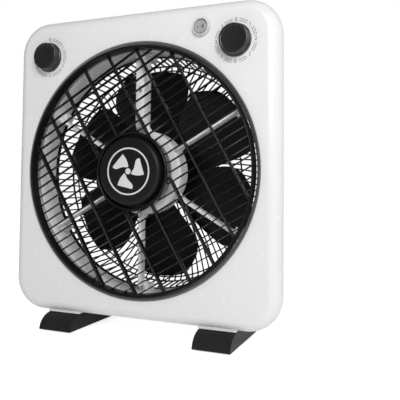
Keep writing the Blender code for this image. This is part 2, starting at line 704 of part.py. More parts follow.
def make_knob(kind, side, dark_plastic, steel, body_plastic):
    """A knob, its spindle and the control behind the face that the spindle turns."""
    x = side * DIAL_X
    pivot = place(x, 0, DIAL_HEIGHT)
    profile = [(0, KNOB_FRONT + 0.5), (14.8, KNOB_FRONT + 0.4), (16.0, KNOB_FRONT),
               (16.8, KNOB_FRONT + 1.0), (KNOB_RADIUS, -3.0), (KNOB_SKIRT, -2.2), (KNOB_SKIRT, -0.8),
               (3.4, -0.8), (3.4, -9), (0, -9)]
    knob = turned(f"{kind}_knob", profile, dark_plastic, 32, x, DIAL_HEIGHT)
    combine(knob, [box("pointer", x - 0.7, x + 0.7, KNOB_FRONT - 0.1, KNOB_FRONT + 1.2, DIAL_HEIGHT + 4,
                       DIAL_HEIGHT + 14.4)], "UNION")
    tidy(knob)
    move_origin(knob, pivot)
    turned(f"{kind}_spindle", [(0, -8.6), (3, -8.6), (3, 8), (0, 8)], steel, 12, x, DIAL_HEIGHT, pivot)
    body = rounded_box(f"{kind}_body", x - 16, x + 16, WALL + GAP, 24, DIAL_HEIGHT - 16, DIAL_HEIGHT + 16, 6,
                       body_plastic)
    combine(body, [cylinder(3.5, 0, 9, x, DIAL_HEIGHT, 12)], "DIFFERENCE")
    tidy(body)


def make_rocker_switch(grey_plastic, light_plastic):
    bezel = [(0, 18), (9.8, 18), (9.8, -GAP), (11.0, -GAP), (11.0, -1.2), (9.8, -4.2), (9.1, -4.6),
             (8.6, -4.2), (8.6, 6), (0, 6)]
    turned("rocker_switch_body", bezel, light_plastic, 24, ROCKER_X, ROCKER_HEIGHT)
    pivot = place(ROCKER_X, -1.0, ROCKER_HEIGHT)
    pad = [(0, 1.2), (7.6, 1.2), (7.9, 0.8), (7.9, -4.0), (7.4, -4.6), (0, -4.6)]
    rocker = turned("rocker", pad, grey_plastic, 24, ROCKER_X, ROCKER_HEIGHT)
    dish = [(ROCKER_X - 9, -6), (ROCKER_X + 9, -6)] + arc(ROCKER_X, -6, 9, 2.6, 0, 180, 8)[1:-1]
    scoop = prism_mesh(dish, ROCKER_HEIGHT - 9, ROCKER_HEIGHT + 9, place)
    combine(rocker, [add_object("scoop", scoop, None)], "DIFFERENCE")
    tidy(rocker)
    move_origin(rocker, pivot)
    rocker.rotation_euler = (0, 0, math.radians(-ROCKER_REST))


# ---------------------------------------------------------------- electrics

def make_electrics(dark_plastic, light_plastic, wire_plastic):
    rounded_box("motor_capacitor", -62, -24, 6, 24, CASE_MIDDLE + 156, CASE_MIDDLE + 178, 2.5, light_plastic)
    rounded_box("terminal_block", 112, 142, 6, 20, CASE_MIDDLE - 172, CASE_MIDDLE - 158, 2, light_plastic)
    seat = REAR_WALL + GAP
    gland = [(3.3, 40), (GLAND_RADIUS, 40), (GLAND_RADIUS, seat), (8.5, seat), (8.5, seat + 2),
             (6.4, seat + 5), (3.3, seat + 5)]
    turned("cord_gland", gland, dark_plastic, 16, GLAND_X, GLAND_HEIGHT)
    make_wiring(wire_plastic)


def make_wiring(wire_plastic):
    """The loom from the controls, through the duct and down the top arm's channel to the motor."""
    route = [(104, 20, DIAL_HEIGHT + 6), (84, 25, DIAL_HEIGHT + 12), (60, 28, DIAL_HEIGHT + 14),
             (36, 29, DIAL_HEIGHT + 12), (14, 28.5, AXIS_HEIGHT + 170), (3, 28, AXIS_HEIGHT + 163),
             (0, 28, AXIS_HEIGHT + 156), (0, 28, AXIS_HEIGHT + 148), (0, 28, AXIS_HEIGHT + 140),
             (0, 28, AXIS_HEIGHT + 120), (0, 28, AXIS_HEIGHT + 90), (0, 28, AXIS_HEIGHT + 60),
             (0, 28, AXIS_HEIGHT + 48)]
    curve = bpy.data.curves.new("wiring_loom", "CURVE")
    curve.dimensions = "3D"
    curve.bevel_depth = 2.0 * MM
    curve.bevel_resolution = 2
    curve.use_fill_caps = True
    spline = curve.splines.new("POLY")
    spline.points.add(len(route) - 1)
    for point, (x, depth, height) in zip(spline.points, route):
        point.co = (*place(x, depth, height), 1.0)
    curve.materials.append(wire_plastic)
    loom = bpy.data.objects.new("wiring_loom", curve)
    bpy.context.collection.objects.link(loom)


# ---------------------------------------------------------------- feet

def make_foot(name, side, gloss_black, rubber, steel):
    centre = side * FOOT_X
    bottom = PAD_HEIGHT + GAP
    nose = arc(FOOT_FRONT + 26, bottom, 26, FOOT_TOP - bottom, 180, 90, 7)
    outline = nose + [(FOOT_REAR - 22, FOOT_TOP), (FOOT_REAR - 2, bottom + 8), (FOOT_REAR, bottom + 5),
                      (FOOT_REAR, bottom)]
    solid = prism_mesh(outline, centre - FOOT_WIDTH / 2, centre + FOOT_WIDTH / 2, along_width)
    foot = add_object(name, solid, gloss_black)
    modifier = foot.modifiers.new("edge", "BEVEL")
    modifier.width = 1.2 * MM
    modifier.segments = 1
    modifier.angle_limit = math.radians(60)
    recesses = []
    for depth in FOOT_SCREW_DEPTHS:
        recesses.append(upright("cutter", centre, depth, bottom - 1, FOOT_SCREW_SEAT + GAP, 4.5, 12))
        recesses.append(upright("cutter", centre, depth, 10, FOOT_TOP + 1, 1.9, 8))
    combine(foot, recesses, "DIFFERENCE")
    tidy(foot)
    for index, depth in enumerate(PAD_DEPTHS):
        upright(f"{name}_pad_{index + 1}", centre, depth, 0, PAD_HEIGHT, 9, 16, rubber)
    for index, depth in enumerate(FOOT_SCREW_DEPTHS):
        screw_profile = [(0, FOOT_SCREW_SEAT - 2.1), (3.4, FOOT_SCREW_SEAT - 2.1), (3.4, FOOT_SCREW_SEAT),
                         (SHANK_RADIUS, FOOT_SCREW_SEAT), (SHANK_RADIUS, FOOT_TOP - 0.4), (0, FOOT_TOP - 0.4)]
        turned_upright(f"{name}_screw_{index + 1}", centre, depth, screw_profile, 8, steel)


def turned_upright(name, x, depth, profile, segments, material=None):
    """Revolve (radius, height) points about an upright axis."""
    bm = turned_mesh(profile, segments, 0, 0)
    # The turned shape's axis runs along depth: lay it upright.
    shift = Matrix.Translation(Vector((0, -FACE_DEPTH, 0)) * MM)
    bmesh.ops.transform(bm, matrix=shift, verts=bm.verts)
    bmesh.ops.transform(bm, matrix=Matrix.Rotation(math.radians(90), 4, "X"), verts=bm.verts)
    bmesh.ops.translate(bm, verts=bm.verts, vec=place(x, depth, 0))
    return add_object(name, bm, material)


def upright(name, x, depth, low, high, radius, segments, material=None):
    profile = [(0, low), (radius, low), (radius, high), (0, high)]
    return turned_upright(name, x, depth, profile, segments, material)


# ---------------------------------------------------------------- assembly

def main():
    clear_scene()
    white = make_material("white_case_plastic", (0.82, 0.82, 0.82), 0.28)
    spider_white = make_material("white_spider_plastic", (0.78, 0.78, 0.78), 0.35)
    black = make_material("black_louvre_plastic", (0.02, 0.02, 0.02), 0.3)
    cap_black = make_material("black_satin_plastic", (0.035, 0.035, 0.035), 0.42)
    gloss_black = make_material("gloss_black_plastic", (0.015, 0.015, 0.015), 0.12)
    grey = make_material("grey_rocker_plastic", (0.5, 0.5, 0.5), 0.35)
    natural = make_material("natural_plastic", (0.7, 0.68, 0.62), 0.5)
    wire = make_material("wire_sheath", (0.05, 0.05, 0.05), 0.5)
    rubber = make_material("rubber", (0.03, 0.03, 0.03), 0.8)
    steel = make_material("steel", (0.6, 0.6, 0.6), 0.3, 1.0)
    aluminium = make_material("cast_aluminium", (0.7, 0.7, 0.7), 0.45, 1.0)
    laminations = make_material("lamination_steel", (0.35, 0.35, 0.36), 0.5, 1.0)
    copper = make_material("enamelled_copper", (0.55, 0.25, 0.12), 0.35, 1.0)

    make_front_case(white)
    make_rear_case(white)
    make_louvre(black, cap_black, steel)
    make_spider(spider_white)
    make_impeller(black, steel)
    make_motor(aluminium, steel, laminations, copper)
    make_rear_grille(black)
    make_knob("timer", -1, cap_black, steel, natural)
    make_knob("speed", 1, cap_black, steel, natural)
    make_rocker_switch(grey, white)
    make_electrics(cap_black, natural, wire)
    make_foot("foot_left", -1, gloss_black, rubber, steel)
    make_foot("foot_right", 1, gloss_black, rubber, steel)
    for index, (x, height) in enumerate(case_screw_points()):
        screw(f"case_screw_{index + 1}", steel, x, height, REAR_WALL, 20)
    for index, angle in enumerate(DIAGONALS):
        x, height = on_circle(GRILLE_SCREW_RADIUS, angle)
        screw(f"grille_screw_{index + 1}", steel, x, height, 53.3, 44)
    for index, angle in enumerate(SCREWED_ARMS):
        x, height = on_circle(SPIDER_SCREW_RADIUS, angle)
        screw(f"spider_screw_{index + 1}", steel, x, height, ARM_SEAT, 44, 2.6, 1.2)


main()
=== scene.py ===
"""Box fan: the looks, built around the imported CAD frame.

Lengths in this script are in millimetres and are scaled to metres when a mesh is made. A place is
given by its x, its depth behind the case's front face, and its height above the floor.
"""

import math

import bmesh
import bpy
from mathutils import Matrix, Vector


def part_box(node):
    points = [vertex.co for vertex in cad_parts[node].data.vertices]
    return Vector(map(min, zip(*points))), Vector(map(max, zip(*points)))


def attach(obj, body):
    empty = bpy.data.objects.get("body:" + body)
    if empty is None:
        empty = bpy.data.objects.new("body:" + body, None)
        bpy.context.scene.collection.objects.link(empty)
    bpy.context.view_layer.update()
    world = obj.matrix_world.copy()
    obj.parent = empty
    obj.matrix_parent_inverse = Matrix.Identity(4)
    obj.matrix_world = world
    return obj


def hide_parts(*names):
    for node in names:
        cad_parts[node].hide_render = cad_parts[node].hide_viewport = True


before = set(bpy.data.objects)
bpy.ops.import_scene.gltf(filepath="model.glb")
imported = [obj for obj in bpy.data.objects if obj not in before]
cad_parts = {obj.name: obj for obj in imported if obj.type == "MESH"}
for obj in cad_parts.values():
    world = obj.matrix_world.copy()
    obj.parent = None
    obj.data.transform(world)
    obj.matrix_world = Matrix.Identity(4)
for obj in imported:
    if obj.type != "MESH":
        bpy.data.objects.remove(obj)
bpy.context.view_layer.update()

MM = 0.001

# ---------------------------------------------------------------- sizes from the frame


def centre_of(node):
    """A node's middle as (x, depth, height), in millimetres."""
    low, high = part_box(node)
    middle = (low + high) / 2
    return middle.x / MM, (middle.y - FACE) / MM, middle.z / MM


def depths_of(node):
    """A node's nearest and farthest depth behind the face."""
    low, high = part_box(node)
    return (low.y - FACE) / MM, (high.y - FACE) / MM


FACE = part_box("timer_spindle")[1].y - 8.0 * MM        # metres; the spindle ends 8 mm behind the face
AXIS = centre_of("louvre_hub_cap")[2]                 # the height of the fan's axis
CASE_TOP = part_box("front_case")[1].z / MM
CASE_BOTTOM = CASE_TOP - 382.0
CASE_MIDDLE = (CASE_TOP + CASE_BOTTOM) / 2
CASE_WIDTH_TOP = 355.0
CASE_WIDTH_BOTTOM = 369.5
CORNER_RADIUS = 42.0
EDGE_INSET = 15.0        # the rounding between the face and the sides
EDGE_DEPTH = 17.0
SEAM_INSET = 5.0         # the sides lean in this far at the seam
REAR_INSET = 6.4
WALL = 2.6
SEAM = 36.0
REAR_WALL = 50.0
REAR_BEND = 39.0         # the rear shell turns towards the rear wall from here
FACE_FLAT = 165.2        # the face sinks a little about the opening, inside this radius
LIP_RADIUS = 159.3       # the lip slopes from here to the pocket
POCKET_RADIUS = 154.4    # the pocket that the louvre turns in
DUCT_RADIUS = 151.3
DUCT_OUTER = 154.0
DUCT_END = 48.0
REAR_OPENING = 155.2
ARM_ANGLES = (90, 30, -30, -90, -150, 150)
DIAGONALS = (45, 135, 225, 315)
AXIS_GAP = 0.02          # a revolved profile keeps this far from its axis


# ---------------------------------------------------------------- mesh helpers

SHARP = 38.0             # edges turning by more degrees than this are shaded sharp


def place(x, depth, height):
    return Vector((x * MM, FACE + depth * MM, height * MM))


def on_circle(radius, degrees, x=0.0, height=None):
    turn = math.radians(degrees)
    centre = AXIS if height is None else height
    return x + radius * math.cos(turn), centre + radius * math.sin(turn)


def arc(centre_u, centre_v, radius_u, radius_v, start, end, steps):
    """Points of an elliptical arc, in degrees, both ends included."""
    points = []
    for step in range(steps + 1):
        turn = math.radians(start + (end - start) * step / steps)
        points.append((centre_u + radius_u * math.cos(turn), centre_v + radius_v * math.sin(turn)))
    return points


def skin(bm, loops, closed=False, capped=True):
    """Faces between loops of points. The last loop meets the first if closed, else the ends are capped."""
    rings = [[bm.verts.new(point) for point in loop] for loop in loops]
    pairs = list(zip(rings, rings[1:]))
    if closed:
        pairs.append((rings[-1], rings[0]))
    for first, second in pairs:
        for index in range(len(first)):
            after = (index + 1) % len(first)
            bm.faces.new((first[index], first[after], second[after], second[index]))
    if capped and not closed:
        bm.faces.new(rings[0])
        bm.faces.new(rings[-1])


def add_turned(bm, profile, segments=96, x=0.0, height=None):
    """Revolve (radius, depth) points about an axis along depth. A profile that starts on the axis is
    capped there, the others close on themselves."""
    solid = profile[0][0] == 0
    loops = []
    for radius, depth in profile:
        loop = []
        for step in range(segments):
            u, v = on_circle(max(radius, AXIS_GAP), 360 * step / segments, x, height)
            loop.append(place(u, depth, v))
        loops.append(loop)
    skin(bm, loops, closed=not solid)


def add_sweep(bm, path, sections, side=None):
    """Sweep sections of (side, front) points, one for each point of a path. The side's direction is
    worked out from the path unless it is given, and the front is against depth."""
    loops = []
    for index, (point, section) in enumerate(zip(path, sections)):
        before = path[max(index - 1, 0)]
        after = path[min(index + 1, len(path) - 1)]
        along = (after - before).normalized()
        across = along.cross(Vector((0, 1, 0))).normalized() if side is None else side
        out = across.cross(along).normalized()
        loops.append([point + (across * u + out * v) * MM for u, v in section])
    skin(bm, loops)


def rounded_section(half_width, half_depth, radius, steps=3):
    """A rounded rectangle about 0, as (side, front) points."""
    u = half_width - radius
    v = half_depth - radius
    points = []
    for index, (x, y) in enumerate(((u, v), (-u, v), (-u, -v), (u, -v))):
        points += arc(x, y, radius, radius, 90 * index, 90 * (index + 1), steps)
    return points


def bevel_edges(piece, width, segments, sharper_than):
    modifier = piece.modifiers.new("edges", "BEVEL")
    modifier.width = width * MM
    modifier.segments = segments
    modifier.limit_method = "ANGLE"
    modifier.angle_limit = math.radians(sharper_than)
    modifier.harden_normals = True


def finish_mesh(name, bm, material, body, replaces=(), sharp=SHARP, bevel=None):
    """Turn a bmesh into a piece that rides on a body."""
    bmesh.ops.recalc_face_normals(bm, faces=bm.faces)
    mesh = bpy.data.meshes.new(name)
    bm.to_mesh(mesh)
    bm.free()
    mesh.shade_smooth()
    mesh.set_sharp_from_angle(angle=math.radians(sharp))
    mesh.materials.append(material)
    piece = bpy.data.objects.new(name, mesh)
    bpy.context.collection.objects.link(piece)
    if bevel:
        bevel_edges(piece, bevel, 3, 35)
    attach(piece, body)
    if replaces:
        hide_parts(*replaces)
    return piece


def turned_piece(name, profile, material, body, replaces=(), segments=96, x=0.0, height=None,
                 sharp=SHARP):
    bm = bmesh.new()
    add_turned(bm, profile, segments, x, height)
    return finish_mesh(name, bm, material, body, replaces, sharp)


def add_box(bm, x0, x1, depth0, depth1, z0, z1):
    corners = ((x0, z0), (x1, z0), (x1, z1), (x0, z1))
    skin(bm, [[place(x, depth, z) for x, z in corners] for depth in (depth0, depth1)])


def cut(piece, cutters):
    """Cut meshes out of a piece, and leave no cutter behind."""
    for cutter in cutters:
        mesh = bpy.data.meshes.new("cutter")
        bmesh.ops.recalc_face_normals(cutter, faces=cutter.faces)
        cutter.to_mesh(mesh)
        cutter.free()
        tool = bpy.data.objects.new("cutter", mesh)
        bpy.context.collection.objects.link(tool)
        modifier = piece.modifiers.new("cut", "BOOLEAN")
        modifier.operation = "DIFFERENCE"
        modifier.solver = "EXACT"
        modifier.object = tool
        depsgraph = bpy.context.evaluated_depsgraph_get()
        depsgraph.update()
        result = bpy.data.meshes.new_from_object(piece.evaluated_get(depsgraph))
        piece.modifiers.clear()
        piece.data = result
        bpy.data.objects.remove(tool, do_unlink=True)
    piece.data.shade_smooth()
    piece.data.set_sharp_from_angle(angle=math.radians(SHARP))


# ---------------------------------------------------------------- materials

NOISE_RANGE = (0.3, 0.7)    # where most of a noise lies
WAVE_PITCH = 0.314          # metres between the wave texture's bands at scale 1


def node(tree, kind, **values):
    made = tree.nodes.new(kind)
    for key, value in values.items():
        setattr(made, key, value)
    return made


def scaled_position(tree, stretch=(1, 1, 1)):
    """The piece's own coordinates, in metres, stretched along its axes."""
    coordinates = node(tree, "ShaderNodeTexCoord")
    mapping = node(tree, "ShaderNodeMapping")
    mapping.inputs["Scale"].default_value = stretch
    tree.links.new(coordinates.outputs["Object"], mapping.inputs["Vector"])
    return mapping.outputs["Vector"]


def noise(tree, position, size_mm, detail=2.0):
    texture = node(tree, "ShaderNodeTexNoise")
    texture.inputs["Scale"].default_value = 1.0 / (size_mm * MM)
    texture.inputs["Detail"].default_value = detail
    tree.links.new(position, texture.inputs["Vector"])
    return texture.outputs["Fac"]


def mapped(tree, value, source, target, **values):
    """Map a value from one (low, high) range onto another."""
    ramp = node(tree, "ShaderNodeMapRange", **values)
    for name, (low, high) in (("From", source), ("To", target)):
        ramp.inputs[f"{name} Min"].default_value = low
        ramp.inputs[f"{name} Max"].default_value = high
    tree.links.new(value, ramp.inputs["Value"])
    return ramp.outputs["Result"]


def spread(tree, value, low, high):
    """Map a noise's middle range onto low to high."""
    return mapped(tree, value, NOISE_RANGE, (low, high))


def tinted(tree, value, colour, variation):
    """A colour that a noise makes a little darker and lighter."""
    ramp = node(tree, "ShaderNodeValToRGB")
    ramp.color_ramp.elements[0].position = NOISE_RANGE[0]
    ramp.color_ramp.elements[1].position = NOISE_RANGE[1]
    ramp.color_ramp.elements[0].color = (*[channel * (1 - variation) for channel in colour], 1)
    ramp.color_ramp.elements[1].color = (*[min(channel * (1 + variation), 1) for channel in colour], 1)
    tree.links.new(value, ramp.inputs["Fac"])
    return ramp.outputs["Color"]


def bumped(tree, layers):
    """Stack bumps of (height, depth in millimetres, strength) and return the last one's normal."""
    normal = None
    for height, depth_mm, strength in layers:
        bump = node(tree, "ShaderNodeBump")
        bump.inputs["Strength"].default_value = strength
        bump.inputs["Distance"].default_value = depth_mm * MM
        tree.links.new(height, bump.inputs["Height"])
        if normal:
            tree.links.new(normal, bump.inputs["Normal"])
        normal = bump.outputs["Normal"]
    return normal


def start_material(name):
    material = bpy.data.materials.new(name)
    material.use_nodes = True
    tree = material.node_tree
    return material, tree, tree.nodes["Principled BSDF"]


def moulded_plastic(name, colour, roughness, grain=0.9, grain_depth=0.02, flow=45.0, flow_depth=0.05,
                    variation=0.03, roughness_spread=0.04, specular=0.5):
    """Injection-moulded plastic: a fine grain, a faint flow of the surface and uneven gloss."""
    material, tree, shader = start_material(name)
    position = scaled_position(tree)
    slow = noise(tree, position, flow, 1.0)
    fine = noise(tree, position, grain)
    smudge = noise(tree, position, 14.0, 3.0)
    tree.links.new(tinted(tree, slow, colour, variation), shader.inputs["Base Color"])
    gloss = spread(tree, smudge, roughness - roughness_spread, roughness + roughness_spread)
    tree.links.new(gloss, shader.inputs["Roughness"])
    normal = bumped(tree, [(slow, flow_depth, 0.5), (fine, grain_depth, 0.35)])
    tree.links.new(normal, shader.inputs["Normal"])
    shader.inputs["Specular IOR Level"].default_value = specular
    return material


def brushed_metal(name, colour, roughness, stretch=(1, 8, 1), scratch=0.5, depth=0.012):
    """Metal with fine streaks across its stretched axis."""
    material, tree, shader = start_material(name)
    streaks = noise(tree, scaled_position(tree, stretch), scratch * 6, 3.0)
    blotches = noise(tree, scaled_position(tree), 9.0)
    tree.links.new(tinted(tree, blotches, colour, 0.08), shader.inputs["Base Color"])
    tree.links.new(spread(tree, streaks, roughness - 0.08, roughness + 0.1), shader.inputs["Roughness"])
    tree.links.new(bumped(tree, [(streaks, depth, 0.6)]), shader.inputs["Normal"])
    shader.inputs["Metallic"].default_value = 1.0
    return material


def layered(name, colour, dark, roughness, pitch_mm, direction):
    """Stacked sheets or wound wire: metal bands of a given pitch along one direction."""
    material, tree, shader = start_material(name)
    position = scaled_position(tree)
    bands = node(tree, "ShaderNodeTexWave", wave_type="BANDS", bands_direction=direction)
    bands.inputs["Scale"].default_value = WAVE_PITCH / (pitch_mm * MM)
    bands.inputs["Distortion"].default_value = 0.6
    bands.inputs["Detail"].default_value = 1.0
    tree.links.new(position, bands.inputs["Vector"])
    ramp = node(tree, "ShaderNodeValToRGB")
    ramp.color_ramp.elements[0].color = (*dark, 1)
    ramp.color_ramp.elements[1].color = (*colour, 1)
    tree.links.new(bands.outputs["Fac"], ramp.inputs["Fac"])
    tree.links.new(ramp.outputs["Color"], shader.inputs["Base Color"])
    blotches = noise(tree, position, 6.0)
    tree.links.new(spread(tree, blotches, roughness - 0.06, roughness + 0.06), shader.inputs["Roughness"])
    tree.links.new(bumped(tree, [(bands.outputs["Fac"], 0.12, 0.8)]), shader.inputs["Normal"])
    shader.inputs["Metallic"].default_value = 1.0
    return material


WHITE = moulded_plastic("white_case_plastic", (0.72, 0.72, 0.72), 0.24, grain_depth=0.008, flow=70,
                        flow_depth=0.08, variation=0.008, roughness_spread=0.05)
# The case's white plastic, painted brighter for the duct's inside, the ledges and the spider: painted light
# for the light that reaches in past the louvre
WHITE_PAINTED_LIGHT = moulded_plastic("white_spider_plastic", (0.93, 0.93, 0.93), 0.3, flow=26, flow_depth=0.14,
                              variation=0.015)
# The white case's lip and pocket, painted dark grey: painted shade of the recess about the louvre
LIP_PAINTED_SHADE = moulded_plastic("lip_painted_shade_plastic", (0.22, 0.22, 0.22), 0.3, flow=26, variation=0.02)
LOUVRE_BLACK = moulded_plastic("black_louvre_plastic", (0.006, 0.006, 0.006), 0.26, flow=20,
                               variation=0.15, specular=0.25)
GRILLE_BLACK = moulded_plastic("black_grille_plastic", (0.006, 0.006, 0.006), 0.34, variation=0.15,
                               specular=0.25)
BLADE_BLACK = moulded_plastic("black_blade_plastic", (0.004, 0.004, 0.004), 0.3, flow=34,
                              flow_depth=0.2, variation=0.12, specular=0.16)
CAP_BLACK = moulded_plastic("satin_black_plastic", (0.007, 0.007, 0.007), 0.36, grain=0.7,
                            grain_depth=0.03, variation=0.1, specular=0.2)
KNOB_BLACK = moulded_plastic("knob_black_plastic", (0.012, 0.012, 0.012), 0.24, grain=0.6,
                             grain_depth=0.015, variation=0.1)
FOOT_BLACK = moulded_plastic("gloss_black_plastic", (0.021, 0.021, 0.021), 0.16, flow=30,
                             flow_depth=0.06, variation=0.1, roughness_spread=0.03, specular=0.05)
GREY = moulded_plastic("grey_rocker_plastic", (0.36, 0.36, 0.36), 0.3, variation=0.04)
BEZEL = moulded_plastic("grey_bezel_plastic", (0.56, 0.56, 0.56), 0.22, variation=0.03)
NATURAL = moulded_plastic("natural_plastic", (0.66, 0.63, 0.55), 0.48, variation=0.05)
RUBBER = moulded_plastic("pad_rubber", (0.02, 0.02, 0.02), 0.75, grain=0.5, grain_depth=0.08,
                         variation=0.2)
SHEATH = moulded_plastic("wire_sheath", (0.03, 0.03, 0.03), 0.5, grain=0.4, grain_depth=0.05,
                         variation=0.15)
HUB_INK = moulded_plastic("pale_ink", (0.60, 0.60, 0.60), 0.42, grain=0.4, grain_depth=0.006,
                          variation=0.04)
GREY_INK = moulded_plastic("grey_ink", (0.09, 0.09, 0.09), 0.5, grain=0.4, grain_depth=0.006,
                           variation=0.06)
STEEL = brushed_metal("zinc_steel", (0.62, 0.62, 0.63), 0.3)
ALUMINIUM = brushed_metal("cast_aluminium", (0.66, 0.66, 0.67), 0.46, (1, 1, 1), 0.25, 0.04)
LAMINATIONS = layered("laminated_steel", (0.36, 0.36, 0.37), (0.08, 0.08, 0.08), 0.45, 0.5, "Y")
COPPER = layered("enamelled_copper", (0.62, 0.26, 0.11), (0.2, 0.07, 0.03), 0.3, 0.7, "DIAGONAL")


# ---------------------------------------------------------------- case

SIDE_POINTS = 26
CORNER_POINTS = 14


def case_outline(inset):
    """The case's rounded outline at an inset, as (x, height) points. Every inset gives as many."""
    radius = max(CORNER_RADIUS - inset, 1.0)
    low = CASE_BOTTOM + inset
    high = CASE_TOP - inset

    def half_width(height):
        share = (height - CASE_BOTTOM) / (CASE_TOP - CASE_BOTTOM)
        return (CASE_WIDTH_BOTTOM + (CASE_WIDTH_TOP - CASE_WIDTH_BOTTOM) * share) / 2 - inset

    upper = half_width(high - radius) - radius
    lower = half_width(low + radius) - radius
    corners = [arc(upper, high - radius, radius, radius, 0, 90, CORNER_POINTS),
               arc(-upper, high - radius, radius, radius, 90, 180, CORNER_POINTS),
               arc(-lower, low + radius, radius, radius, 180, 270, CORNER_POINTS),
               arc(lower, low + radius, radius, radius, 270, 360, CORNER_POINTS)]
    points = []
    for corner, following in zip(corners, corners[1:] + corners[:1]):
        points += corner
        end = Vector(corner[-1])
        start = Vector(following[0])
        points += [tuple(end.lerp(start, step / SIDE_POINTS)) for step in range(1, SIDE_POINTS)]
    return points


RAY_ANGLES = [math.atan2(v - AXIS, u) for u, v in case_outline(0)]


def case_circle(radius):
    """A circle about the axis with one point on the ray to each point of the case's outline."""
    return [(radius * math.cos(turn), AXIS + radius * math.sin(turn)) for turn in RAY_ANGLES]


def shell_loops(stations):
    """Loops for stations of (kind, size, depth): a circle's radius or an outline's inset, or for a
    blend the share of the way from the opening to the face's edge."""
    loops = []
    for kind, size, depth in stations:
        if kind == "circle":
            points = case_circle(size)
        elif kind == "outline":
            points = case_outline(size)
        else:
            inner = case_circle(FACE_FLAT)
            outer = case_outline(EDGE_INSET)
            points = [tuple(Vector(a).lerp(Vector(b), size)) for a, b in zip(inner, outer)]
        loops.append([place(u, depth, v) for u, v in points])
    return loops


def hole_cutter(name, radius, depth0, depth1, segments):
    """A cylinder about a node's middle, from depth0 to depth1."""
    x, _, height = centre_of(name)
    hole = bmesh.new()
    add_turned(hole, [(0, depth0), (radius, depth0), (radius, depth1), (0, depth1)], segments, x, height)
    return hole


def make_front_case():
    """One closed shell: from the duct through the pocket and the lip, over the face and the sides to
    the seam, and back along the inside."""
    duct = [(DUCT_RADIUS, DUCT_END - 0.8), (DUCT_RADIUS, 15.4), (DUCT_RADIUS + 0.4, 14.2),
            (DUCT_RADIUS + 1.4, 13.4), (POCKET_RADIUS - 0.6, 12.8), (POCKET_RADIUS, 12.2)]
    lip = [(POCKET_RADIUS, 6.2), (POCKET_RADIUS + 0.3, 5.3), (LIP_RADIUS, 0.9), (LIP_RADIUS + 0.6, 0.55),
           (160.8, 0.42), (162.4, 0.24), (164.2, 0.06), (FACE_FLAT, 0)]
    edge = arc(EDGE_INSET, EDGE_DEPTH, EDGE_INSET, EDGE_DEPTH, 270, 180, 16)
    side = [(0.4, EDGE_DEPTH + 3), (SEAM_INSET, SEAM - 0.7), (SEAM_INSET + 0.25, SEAM - 0.2),
            (SEAM_INSET + 0.7, SEAM), (SEAM_INSET + WALL, SEAM)]
    inner = arc(EDGE_INSET, EDGE_DEPTH, EDGE_INSET - WALL, EDGE_DEPTH - WALL, 180, 270, 6)
    back = [(163, WALL), (163, 4), (159, 8), (159, 14), (DUCT_OUTER, 18), (DUCT_OUTER, DUCT_END - 0.8),
            (DUCT_OUTER - 0.5, DUCT_END), (DUCT_RADIUS + 0.5, DUCT_END)]
    stations = [("circle", radius, depth) for radius, depth in duct + lip]
    stations += [("blend", share, 0) for share in (0.25, 0.5, 0.75)]
    stations += [("outline", inset, depth) for inset, depth in edge + side + inner]
    stations += [("circle", radius, depth) for radius, depth in back]
    bm = bmesh.new()
    skin(bm, shell_loops(stations), closed=True)
    case = finish_mesh("front_case_shell", bm, WHITE, "case", ["front_case"], 30)
    cut(case, [hole_cutter("timer_knob", 5.5, -1, 4, 48), hole_cutter("speed_knob", 5.5, -1, 4, 48),
               hole_cutter("rocker_switch_body", 10.3, -1, 4, 64)])
    # Faces inside the duct get the brighter white of painted light, and faces of the lip and pocket get the
    # dark grey of painted shade
    case.data.materials.append(WHITE_PAINTED_LIGHT)
    case.data.materials.append(LIP_PAINTED_SHADE)
    for face in case.data.polygons:
        radius = math.hypot(face.center.x, face.center.z - AXIS * MM) / MM
        if radius < DUCT_RADIUS + 0.7:
            face.material_index = 1
        elif radius < LIP_RADIUS:
            face.material_index = 2
    make_ledges()
    make_plinths()


def make_ledges():
    """The blocks inside the duct that the spider's arms are screwed to."""
    inner, outer, half_width = 142, 152.6, 6.5
    corners = ((inner, -half_width), (outer, -half_width), (outer, half_width), (inner, half_width))
    bm = bmesh.new()
    for angle in ARM_ANGLES:
        turn = Matrix.Rotation(math.radians(angle), 2)
        points = [turn @ Vector(corner) for corner in corners]
        skin(bm, [[place(point.x, depth, AXIS + point.y) for point in points] for depth in (31.3, 46)])
    # The ledges take the brighter white: painted light
    finish_mesh("arm_ledges", bm, WHITE_PAINTED_LIGHT, "case", bevel=0.8)


def make_plinths():
    """The white strips between the case and the feet, front and rear shell."""
    for side, foot in (("left", "foot_left"), ("right", "foot_right")):
        x = centre_of(foot)[0]
        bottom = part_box("front_case")[0].z / MM
        side_view = [(8, bottom), (SEAM - 1, bottom), (SEAM - 1, CASE_BOTTOM + 6),
                     (EDGE_DEPTH, CASE_BOTTOM + 1.3), (8, CASE_BOTTOM + 3.6)]
        bm = bmesh.new()
        skin(bm, [[place(end, depth, height) for depth, height in side_view] for end in (x - 23.5, x + 23.5)])
        finish_mesh(f"plinth_{side}", bm, WHITE, "case", bevel=0.8)
        bm = bmesh.new()
        add_box(bm, x - 22, x + 22, SEAM + 2, 43, bottom, CASE_BOTTOM + 8)
        finish_mesh(f"rear_plinth_{side}", bm, WHITE, "case", bevel=0.8)


